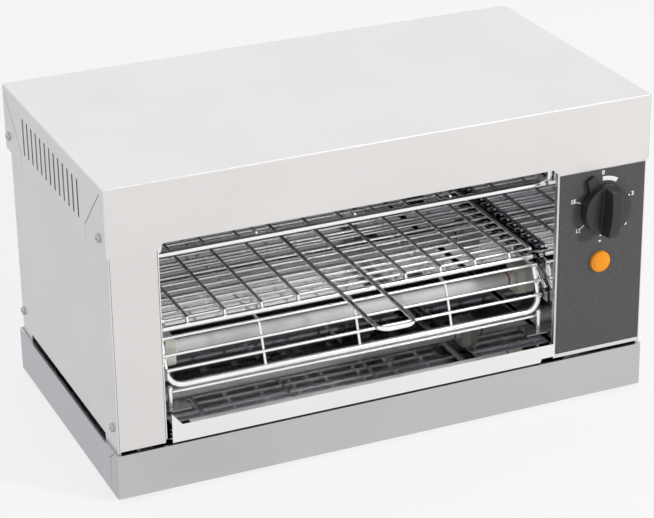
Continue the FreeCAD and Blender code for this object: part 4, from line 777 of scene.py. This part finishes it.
def guard_feet(g):
    """Two feet under the front corners, the wire that ties them, and the stays to the walls."""
    low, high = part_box("lower_guard_frame")
    left, right = low.x + g.rod / 2, high.x - g.rod / 2
    y = FRONT + g.toe
    foot_low = g.toe_level - g.foot_length
    patches = []
    for x in (left + g.foot_inset, right - g.foot_inset):
        patches.append(straight((x, y, foot_low), (x, y, g.toe_level), g.foot, (1, 0, 0), 20))
    tie_y = y + (g.foot + g.tie) / 2
    tie_z = g.toe_level - g.tie_drop
    patches.append(straight((left, tie_y, tie_z), (right, tie_y, tie_z), g.tie))
    top = (FRONT + g.shoulder + g.stay_start, g.level - g.rod / 2)
    end = (FRONT + g.stay_end, g.stay_level)
    reach = (g.rod + g.tie) / 2
    for x in (left - reach, right + reach):
        patches.append(straight((x, *top), (x, *end), g.tie, (1, 0, 0)))
    return patches


def upper_guard(g):
    """A level grid whose side rods turn up behind the hood at the front."""
    low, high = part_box("upper_guard")
    left, right = low.x + g.foot / 2, high.x - g.foot / 2
    hook = FRONT + g.upper_hook
    z = g.upper_level
    patches = []
    for x in (left, right):
        corners = [(x, high.y, z), (x, hook, z), (x, hook, z + g.upper_rise)]
        patches.append(wire(rounded_path(corners, [g.bend]), (1, 0, 0), g.foot, 20))
    bar_y, bar_z = FRONT + g.upper_bar, z - (g.foot + g.rod) / 2
    ends = [(x, bar_y, bar_z) for x in (low.x, high.x)]
    patches.append(straight(*ends, g.rod, sides=24))
    wire_z = z - (g.foot + g.wire) / 2
    rows = bar_y + g.wire_pitch * np.arange(1, g.wire_count + 1)
    patches += [straight((low.x, y, wire_z), (high.x, y, wire_z), g.wire) for y in rows]
    long_z = wire_z + g.wire
    columns = [left + i * (right - left) / g.bays for i in range(1, g.bays)]
    for x in columns:
        patches.append(straight((x, bar_y, long_z), (x, rows[-1] + g.wire, long_z), g.wire))
    welds = [(x, y, wire_z + g.wire / 2) for x in [*columns, left, right] for y in rows]
    patches.append(beads(welds, (0.7 * g.wire, 0.7 * g.wire, 0.4 * g.wire)))
    return patches


class TOASTER_OT_guards(bpy.types.Operator):
    """Make the round wires of both guards, with their feet and stays"""

    bl_idname = "toaster.guards"
    bl_label = "Guards"

    def execute(self, context):
        g = context.scene.toaster.guards
        chrome_of = {"body": "machine", "finish": "plated_wire", "slot": "chrome_wire"}
        rod, wires = lower_guard(g)
        add_piece("round_guard_frame", rod, replaced=["lower_guard_frame"], **chrome_of)
        add_piece("round_guard_wires", wires, replaced=["lower_guard_wires"], **chrome_of)
        add_piece("guard_feet_and_stays", guard_feet(g), replaced=["guard_feet"], **chrome_of)
        add_piece("upper_guard_wires", upper_guard(g), replaced=["upper_guard"], **chrome_of)
        return {"FINISHED"}


# Quartz tubes and coils

TUBES = ("lower_front", "lower_rear", "upper_front", "upper_rear")


def quartz_tube(h, low, high):
    """A tube whose four circles, two outside and two inside, have small fire-polished lips."""
    outer = (high.z - low.z) / 2
    inner = outer - h.wall
    span = high.x - low.x
    lip = h.wall / 4
    profile = [
        (lip, outer),
        (span - lip, outer),
        (span, outer - lip),
        (span, inner + lip),
        (span - lip, inner),
        (lip, inner),
        (0, inner + lip),
        (0, outer - lip),
    ]
    middle = (low + high) / 2
    return lathe(profile, (low.x, middle.y, middle.z), (1, 0, 0), (0, 0, 1), 40, closed=True)


def heating_coil(h, low, high):
    """A helix about the tube's axis: the angle grows evenly with X, and the wire's circle is
    spanned by the radius and the direction square to radius and run."""
    turns = (high.x - low.x) / h.coil_pitch
    phase = np.linspace(0, 2 * np.pi * turns, int(turns * 10))
    radius = (h.coil - h.coil_wire) / 2
    outward = np.stack([np.zeros_like(phase), np.cos(phase), np.sin(phase)], axis=1)
    middle = (low + high) / 2
    path = radius * outward + np.array([0, middle.y, middle.z])
    path[:, 0] = np.linspace(low.x, high.x, len(phase))
    outward = np.vstack([outward[:1], outward, outward[-1:]])
    return wire(path, outward, h.coil_wire, 6)


def colour_band_ring(h, low, high):
    """A thin ring painted round the tube near its right cap."""
    outer = (high.z - low.z) / 2
    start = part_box("right_ceramic_caps")[0].x - h.band_inset
    skin = 0.05 * MM
    profile = [(0, outer), (0, outer + skin), (h.band, outer + skin), (h.band, outer)]
    middle = (low + high) / 2
    return lathe(profile, (start, middle.y, middle.z), (1, 0, 0), (0, 0, 1), 40, closed=True)


class TOASTER_OT_heaters(bpy.types.Operator):
    """Make the frosted tubes, the coils wound inside them and their coloured bands"""

    bl_idname = "toaster.heaters"
    bl_label = "Heaters"

    def execute(self, context):
        h = context.scene.toaster.heaters
        boxes = [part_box(f"{name}_tube") for name in TUBES]
        for name, box in zip(TUBES, boxes):
            node = f"{name}_tube"
            patches = [quartz_tube(h, *box)]
            add_piece(f"{name}_quartz", patches, "machine", "frosted_quartz", [node], "quartz")
        coils = [heating_coil(h, *box) for box in boxes]
        add_piece(
            "wound_coils", coils, "machine", "oxidised_wire", ["heating_coils"], "resistance_wire"
        )
        bands = [colour_band_ring(h, *box) for box in boxes]
        add_piece("tube_bands", bands, "machine", "fired_red_band")
        return {"FINISHED"}


# Timer knob, dial and lamp


def soft_least(a, b, softness):
    """The smaller of two lengths, rounded where they meet."""
    return -softness * np.logaddexp(-a / softness, -b / softness)


def knob_axis():
    low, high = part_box("timer_shaft")
    return (low.x + high.x) / 2, (low.z + high.z) / 2


def knob_body(k, spot, back):
    """A polar surface. At each depth the radius is the smaller of the round body and the flank
    of the grip, which is the grip's half width over the cosine of the angle from its face. At
    the panel it is the larger of that and the pointer, a nose whose sides are straight lines.
    Ahead of the flanks the depth falls with the square of the radius, which crowns the grip."""
    height = k.height
    edge = k.diameter / 2
    face = k.front_diameter / 2
    half_grip = k.grip / 2
    half_foot = k.grip_foot / 2
    soft = k.softness
    free = 4 * edge
    cut = height - k.grip_depth
    cut_radius = edge + (face - edge) * (cut - k.skirt) / (height - k.skirt)
    # rows of (depth, body radius, half width of the grip, share of the radius, pointer)
    rows = [
        (height - k.cap, 0, free, 1, 0),
        (height - k.cap, k.bore / 2, free, 1, 0),
        (0, k.bore / 2, free, 1, 0),
        (0, edge - 2 * soft, free, 1, 0.97),
        (soft, edge, free, 1, 1),
        (k.pointer_sheet - soft, edge, free, 1, 1),
        (k.pointer_sheet, edge, free, 1, 0.97),
        (k.pointer_sheet + 0.02 * MM, edge, free, 1, 0),
        (k.skirt, edge, free, 1, 0),
        (cut - soft, cut_radius, free, 1, 0),
        (cut - 0.3 * soft, cut_radius - 0.3 * soft, free, 1, 0),
        (cut, cut_radius - soft, free, 1, 0),
        (cut, cut_radius - soft, half_foot + soft, 1, 0),
        (cut + soft, cut_radius - soft, half_foot, 1, 0),
        (height - 2 * soft, face - soft, half_grip, 1, 0),
        (height - 0.6 * soft, face - 1.3 * soft, half_grip - 0.3 * soft, 1, 0),
        (height, face - 2.5 * soft, half_grip - 1.2 * soft, 1, 0),
        *((height, face - 2.5 * soft, half_grip - 1.2 * soft, share, 0) for share in (0.75, 0.5, 0.25, 0)),
    ]
    depth, body, flank, share, nose = np.array(rows).T[:, :, None]
    angles = np.arange(288)[None] * (2 * np.pi / 288)
    across = np.abs(np.cos(angles + k.grip_tilt)) + 1e-6
    radius = np.where(flank >= free, body, soft_least(body, flank / across, soft))
    away = angles - (np.pi / 2 + k.pointer)
    along = np.cos(away)
    reach = edge + k.pointer_reach
    root = edge - k.pointer_sheet
    narrowing = (k.pointer_root - k.pointer_tip) / 2 / (reach - root)
    offset = k.pointer_root / 2 + narrowing * root
    tip = reach / np.maximum(along, 1e-3)
    sides = offset / np.maximum(np.abs(np.sin(away)) + narrowing * along, 1e-3)
    beak = np.where(along > 0, soft_least(tip, sides, soft), 0)
    radius = np.where(nose > 0, np.maximum(radius, beak * nose), radius) * share
    raised = np.clip((depth - cut) / k.grip_depth, 0, 1)
    depth = depth - k.grip_crown * raised * (radius / edge) ** 2
    x, z = spot
    points = np.stack(
        [x + radius * np.cos(angles), back - depth, z + radius * np.sin(angles)], axis=-1
    )
    return patch(points, capped=False)


def polar_plate(centre, y, thickness, inner, outer, start, end, steps=12):
    """A flat plate between two radii and two angles, clockwise from the top, facing -Y."""
    angles = np.linspace(start, end, steps)
    radii = np.array([inner, outer, outer, inner])[:, None]
    level = np.array([y, y, y - thickness, y - thickness])[:, None]
    points = np.stack(
        [
            centre[0] + radii * np.sin(angles),
            np.broadcast_to(level, (4, steps)),
            centre[1] + radii * np.cos(angles),
        ],
        axis=-1,
    )
    return patch(points.transpose(1, 0, 2))


# number, degrees clockwise from the top, and distance from the axis
DIAL = ((0, -1, 28.3), (3, 76, 26.9), (6, 130, 26.9), (9, 183, 29.6), (12, 232, 26.9), (15, 288, 27.4))


def dial_marks(k, spot, face):
    """A tick at every number after zero, and a band that starts at zero."""
    half = k.tick_width / 2 / k.tick_outer
    angles = [math.radians(degrees) for _, degrees, _ in DIAL[1:]]
    patches = [
        polar_plate(spot, face, k.ink, k.tick_inner, k.tick_outer, at - half, at + half, 3)
        for at in angles
    ]
    band = (k.wedge_inner, k.wedge_outer, k.wedge_from, k.wedge_to)
    patches.append(polar_plate(spot, face, k.ink, *band))
    return patches


def number(words, place, size, weight, thickness, name):
    """Upright lettering as a mesh, centred on its place and facing -Y."""
    curve = bpy.data.curves.new(name, "FONT")
    curve.body = words
    curve.size = size
    curve.offset = weight
    curve.extrude = thickness / 2
    curve.align_x = "CENTER"
    curve.align_y = "CENTER"
    text = bpy.data.objects.new(name, curve)
    bpy.context.scene.collection.objects.link(text)
    depsgraph = bpy.context.evaluated_depsgraph_get()
    mesh = bpy.data.meshes.new_from_object(text.evaluated_get(depsgraph))
    points = np.empty(len(mesh.vertices) * 3)
    mesh.vertices.foreach_get("co", points)
    across, up, out = points.reshape(-1, 3).T
    points = np.stack([place.x + across, place.y - out, place.z + up], axis=1)
    mesh.vertices.foreach_set("co", points.ravel())
    bpy.data.objects.remove(text)
    return mesh


class TOASTER_OT_knob(bpy.types.Operator):
    """Make the moulded timer knob with its grip and pointer"""

    bl_idname = "toaster.knob"
    bl_label = "Knob"

    def execute(self, context):
        k = context.scene.toaster.knob
        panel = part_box("timer_knob")[1].y
        spot = knob_axis()
        patches = [knob_body(k, spot, panel)]
        add_piece(
            "moulded_knob", patches, "knob", "moulded_black_plastic", ["timer_knob"], "black_plastic", 28
        )
        return {"FINISHED"}


class TOASTER_OT_dial(bpy.types.Operator):
    """Print the numbers, the ticks and the wedge on the control panel"""

    bl_idname = "toaster.dial"
    bl_label = "Dial"

    def execute(self, context):
        k = context.scene.toaster.knob
        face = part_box("control_panel")[0].y
        spot = knob_axis()
        marks = add_piece(
            "dial_marks", dial_marks(k, spot, face), "machine", "printed_white_ink"
        )
        work = bmesh.new()
        work.from_mesh(marks.data)
        for value, degrees, distance in DIAL:
            at = math.radians(degrees)
            x = spot[0] + distance * MM * math.sin(at)
            z = spot[1] + distance * MM * math.cos(at)
            place = Vector((x, face - k.ink / 2, z))
            name = f"number_{value}"
            mesh = number(str(value), place, k.number_size, k.number_weight, k.ink, name)
            work.from_mesh(mesh)
            bpy.data.meshes.remove(mesh)
        bmesh.ops.remove_doubles(work, verts=work.verts, dist=1e-7)
        bmesh.ops.recalc_face_normals(work, faces=work.faces)
        work.to_mesh(marks.data)
        work.free()
        marks.data.update()
        return {"FINISHED"}


class TOASTER_OT_lamp(bpy.types.Operator):
    """Make the domed lens of the pilot lamp"""

    bl_idname = "toaster.lamp"
    bl_label = "Lamp"

    def execute(self, context):
        low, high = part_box("lamp_lens")
        radius = (high.x - low.x) / 2
        rise = high.y - low.y
        round_over = np.linspace(0, np.pi / 2, 7)
        soft = 0.22 * radius
        shoulder = np.stack(
            [0.72 * rise - soft + soft * np.sin(round_over), radius - soft + soft * np.cos(round_over)],
            axis=1,
        )
        ease = np.linspace(0, 1, 6)[1:]
        dome = np.stack(
            [0.72 * rise + 0.28 * rise * np.sin(ease * np.pi / 2), (radius - soft) * np.cos(ease * np.pi / 2)],
            axis=1,
        )
        profile = np.vstack([[(0, 0), (0, radius)], shoulder, dome])
        middle = (low + high) / 2
        lens = lathe(profile, (middle.x, high.y, middle.z), (0, -1, 0), (1, 0, 0), 64)
        add_piece("domed_lens", [lens], "machine", "orange_lens", ["lamp_lens"], "lamp_orange")
        return {"FINISHED"}


# Screws, feet and cable gland


def screw(seat, outward, head, height, shank, reach):
    """A pan head on a threaded shank. The head is a dome over polar rings, sunk by a cross: a
    point is in the cross where one coordinate is narrow and the other is short."""
    radius = head / 2
    sides = 64
    cosine, sine = (part[:, 0] for part in turn(sides))
    reach_out = np.linspace(0, 1, 30)[:, None] * radius
    dome = height * (0.45 + 0.55 * np.sqrt(1 - (reach_out / radius) ** 2 * 0.98))
    x, y = reach_out * cosine, reach_out * sine
    blade, arm = 0.13 * radius, 0.56 * radius

    def inside(u, w):
        narrow = np.clip((blade - np.abs(u)) / (0.4 * blade), 0, 1)
        short = np.clip((arm - np.abs(w)) / (0.3 * arm), 0, 1)
        return narrow * short

    sink = np.maximum(inside(x, y), inside(y, x)) * 0.5 * height
    top = np.stack([x, y, dome - sink], axis=-1)
    threads = 7
    ridge = np.linspace(0, reach, 2 * threads + 1)
    crest = np.where(np.arange(len(ridge)) % 2, shank / 2, 0.8 * shank / 2)
    rows = [(0, radius), *zip(-ridge, crest), (-reach - shank / 3, 0.1 * shank)]
    z, r = np.array(rows).T[:, :, None]
    shaft = np.stack([r * cosine, r * sine, np.broadcast_to(z, (len(rows), sides))], axis=-1)
    points = np.concatenate([top, shaft])
    outward = np.asarray(outward, dtype=float)
    up = np.array([0.0, 0.0, 1.0])
    placed = points @ np.array([np.cross(up, outward), up, outward]) + np.asarray(seat)
    points, quads, ends = patch(placed)
    return points, quads, ends[1:]


class TOASTER_OT_screws(bpy.types.Operator):
    """Make the cross-recessed screws of the hood and the side panels"""

    bl_idname = "toaster.screws"
    bl_label = "Screws"

    def execute(self, context):
        head, height, shank, reach = 7 * MM, 2.2 * MM, 3.9 * MM, 7.4 * MM
        for node in ("hood_screws", "panel_screws"):
            low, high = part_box(node)
            z = (low.z + high.z) / 2
            patches = []
            for side, edge in ((-1, low.x + height), (1, high.x - height)):
                for y in (low.y + head / 2, high.y - head / 2):
                    patches.append(screw((edge, y, z), (side, 0, 0), head, height, shank, reach))
            add_piece(f"cross_{node}", patches, "machine", "zinc_plate", [node], "zinc_steel")
        return {"FINISHED"}


class TOASTER_OT_feet(bpy.types.Operator):
    """Make the moulded rubber feet"""

    bl_idname = "toaster.feet"
    bl_label = "Feet"

    def execute(self, context):
        low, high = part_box("rubber_feet")
        rise = high.z - low.z
        radius = 12 * MM
        head, shank = 4 * MM, 2.4 * MM
        seat = rise - 1 * MM
        profile = [
            (0, head),
            (0, 0.8 * radius),
            (0.3 * MM, 0.84 * radius),
            (rise - 0.4 * MM, 0.98 * radius),
            (rise, radius - 0.4 * MM),
            (rise, shank),
            (seat, shank),
            (seat, head),
        ]
        patches = [
            lathe(profile, (x, y, low.z), (0, 0, 1), (1, 0, 0), 56, closed=True)
            for x in (low.x + radius, high.x - radius)
            for y in (low.y + radius, high.y - radius)
        ]
        add_piece("moulded_feet", patches, "machine", "matt_rubber", ["rubber_feet"], "rubber")
        return {"FINISHED"}


class TOASTER_OT_gland(bpy.types.Operator):
    """Make the moulded cable gland in the rear panel"""

    bl_idname = "toaster.gland"
    bl_label = "Gland"

    def execute(self, context):
        low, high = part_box("cable_gland")
        outer = (high.x - low.x) / 2
        length = high.y - low.y
        inside = length - 5 * MM
        bore, neck, mouth = 0.45 * outer, 0.68 * outer, 0.72 * outer
        ease = np.linspace(0, np.pi / 2, 7)
        flange = inside + 2.5 * MM
        dome = [(flange + (high.y - low.y - flange) * math.sin(a), mouth + (outer - mouth) * math.cos(a)) for a in ease]
        profile = [(0, bore), (0, neck), (inside, neck), (inside, outer), *dome, (length, bore)]
        middle = (low + high) / 2
        gland = lathe(profile, (middle.x, low.y, middle.z), (0, 1, 0), (1, 0, 0), 64, closed=True)
        add_piece(
            "moulded_gland", [gland], "machine", "moulded_black_plastic", ["cable_gland"], "black_plastic"
        )
        return {"FINISHED"}


# Floor, lights and camera


def through_camera(tree):
    """1 for what the camera, a reflection or a clear piece sees, 0 for light on a dull surface."""
    rays = tree.nodes.new("ShaderNodeLightPath").outputs
    first = add_node(
        tree, "Math", {0: rays["Is Camera Ray"], 1: rays["Is Glossy Ray"]}, operation="MAXIMUM"
    )
    both = add_node(
        tree, "Math", {0: first.outputs[0], 1: rays["Is Transmission Ray"]}, operation="MAXIMUM"
    )
    return both.outputs[0]


def make_world(s):
    world = bpy.data.worlds.new("studio")
    bpy.context.scene.world = world
    world.use_nodes = True
    tree = world.node_tree
    strength = spread(tree, through_camera(tree), s.fill, 1, 0, 1)
    background = tree.nodes["Background"]
    background.inputs["Color"].default_value = (1, 1, 1, 1)
    tree.links.new(strength, background.inputs["Strength"])


def make_floor(s):
    """A pale floor. The camera sees part of it as plain white, and the rest keeps the shadow."""
    corner = 12.0
    mesh = bpy.data.meshes.new("floor")
    mesh.from_pydata([(-corner, -corner, 0), (corner, -corner, 0), (corner, corner, 0), (-corner, corner, 0)], [], [(0, 1, 2, 3)])
    finish = bpy.data.materials.new("pale_floor")
    finish.use_nodes = True
    tree = finish.node_tree
    tree.nodes.clear()
    dull = add_node(tree, "BsdfDiffuse", {"Color": (*s.floor, 1)})
    plain = add_node(tree, "Emission", {"Color": (1, 1, 1, 1), "Strength": 1.0})
    share = spread(tree, through_camera(tree), 0, s.glow, 0, 1)
    both = add_node(tree, "MixShader", {0: share, 1: dull.outputs[0], 2: plain.outputs[0]})
    output = tree.nodes.new("ShaderNodeOutputMaterial")
    tree.links.new(both.outputs[0], output.inputs["Surface"])
    mesh.materials.append(finish)
    floor = bpy.data.objects.new("floor", mesh)
    bpy.context.scene.collection.objects.link(floor)


def add_lamp(name, place, aim, size, power, mirrored):
    """A soft lamp, either mirrored in gloss and metal or lighting what is dull."""
    light = bpy.data.lights.new(name, "AREA")
    light.shape = "DISK"
    light.size = size
    light.energy = power
    lamp = bpy.data.objects.new(name, light)
    lamp.visible_glossy = mirrored
    lamp.visible_diffuse = not mirrored
    lamp.location = place
    lamp.rotation_euler = (Vector(aim) - Vector(place)).to_track_quat("-Z", "Y").to_euler()
    bpy.context.scene.collection.objects.link(lamp)


def make_camera(s):
    """The camera looks along its own -Z. Yaw and pitch give the direction back to it, and the
    aim offsets slide it square to that direction."""
    back = Vector(
        (
            -math.sin(s.yaw) * math.cos(s.pitch),
            -math.cos(s.yaw) * math.cos(s.pitch),
            math.sin(s.pitch),
        )
    )
    right = Vector((math.cos(s.yaw), -math.sin(s.yaw), 0))
    up = back.cross(right)
    middle = Vector((0, HOOD_LOW.y / 2 + HOOD_HIGH.y / 2, 4 * MM))
    rolled_right = right * math.cos(s.roll) + up * math.sin(s.roll)
    rolled_up = back.cross(rolled_right)
    data = bpy.data.cameras.new("camera")
    data.sensor_width = s.sensor
    data.lens = s.focal_pixels * s.sensor / PHOTO_WIDTH
    camera = bpy.data.objects.new("camera", data)
    place = middle + back * s.distance + right * s.aim_right + up * s.aim_up
    turned = Matrix((rolled_right, rolled_up, back)).transposed()
    camera.matrix_world = Matrix.Translation(place) @ turned.to_4x4()
    bpy.context.scene.collection.objects.link(camera)
    bpy.context.scene.camera = camera


class TOASTER_OT_stage(bpy.types.Operator):
    """Set the floor, the soft lights and the camera"""

    bl_idname = "toaster.stage"
    bl_label = "Stage"

    def execute(self, context):
        s = context.scene.toaster.stage
        context.scene.view_settings.view_transform = "Standard"
        make_world(s)
        make_floor(s)
        aim = (0, 0, 0.1)
        add_lamp("key_light", (1.6, -2.0, 0.9), aim, 0.4, s.key, False)
        add_lamp("glint_light", (1.05, -1.4, 1.95), aim, 0.5, s.glint, True)
        make_camera(s)
        return {"FINISHED"}


# Sidebar and registration

STEPS = (
    TOASTER_OT_finishes,
    TOASTER_OT_rack,
    TOASTER_OT_guards,
    TOASTER_OT_heaters,
    TOASTER_OT_knob,
    TOASTER_OT_dial,
    TOASTER_OT_lamp,
    TOASTER_OT_screws,
    TOASTER_OT_feet,
    TOASTER_OT_gland,
    TOASTER_OT_stage,
)
GROUPS = (
    RackSettings,
    GuardSettings,
    HeaterSettings,
    KnobSettings,
    FinishSettings,
    StageSettings,
    ToasterSettings,
)


class TOASTER_PT_panel(bpy.types.Panel):
    """Steps that dress the toaster, and their settings"""

    bl_idname = "TOASTER_PT_panel"
    bl_label = "Sandwich Toaster"
    bl_space_type = "VIEW_3D"
    bl_region_type = "UI"
    bl_category = "Toaster"

    def draw(self, context):
        for step in STEPS:
            self.layout.operator(step.bl_idname)
        for group in ToasterSettings.__annotations__:
            settings = getattr(context.scene.toaster, group)
            box = self.layout.box()
            for name in settings.__annotations__:
                box.prop(settings, name)


def register():
    for each in (*GROUPS, *STEPS, TOASTER_PT_panel):
        bpy.utils.register_class(each)
    bpy.types.Scene.toaster = bpy.props.PointerProperty(type=ToasterSettings)


def unregister():
    del bpy.types.Scene.toaster
    for each in reversed((*GROUPS, *STEPS, TOASTER_PT_panel)):
        bpy.utils.unregister_class(each)


def main():
    register()
    for step in STEPS:
        group, name = step.bl_idname.split(".")
        getattr(getattr(bpy.ops, group), name)()


if __name__ == "__main__":
    main()
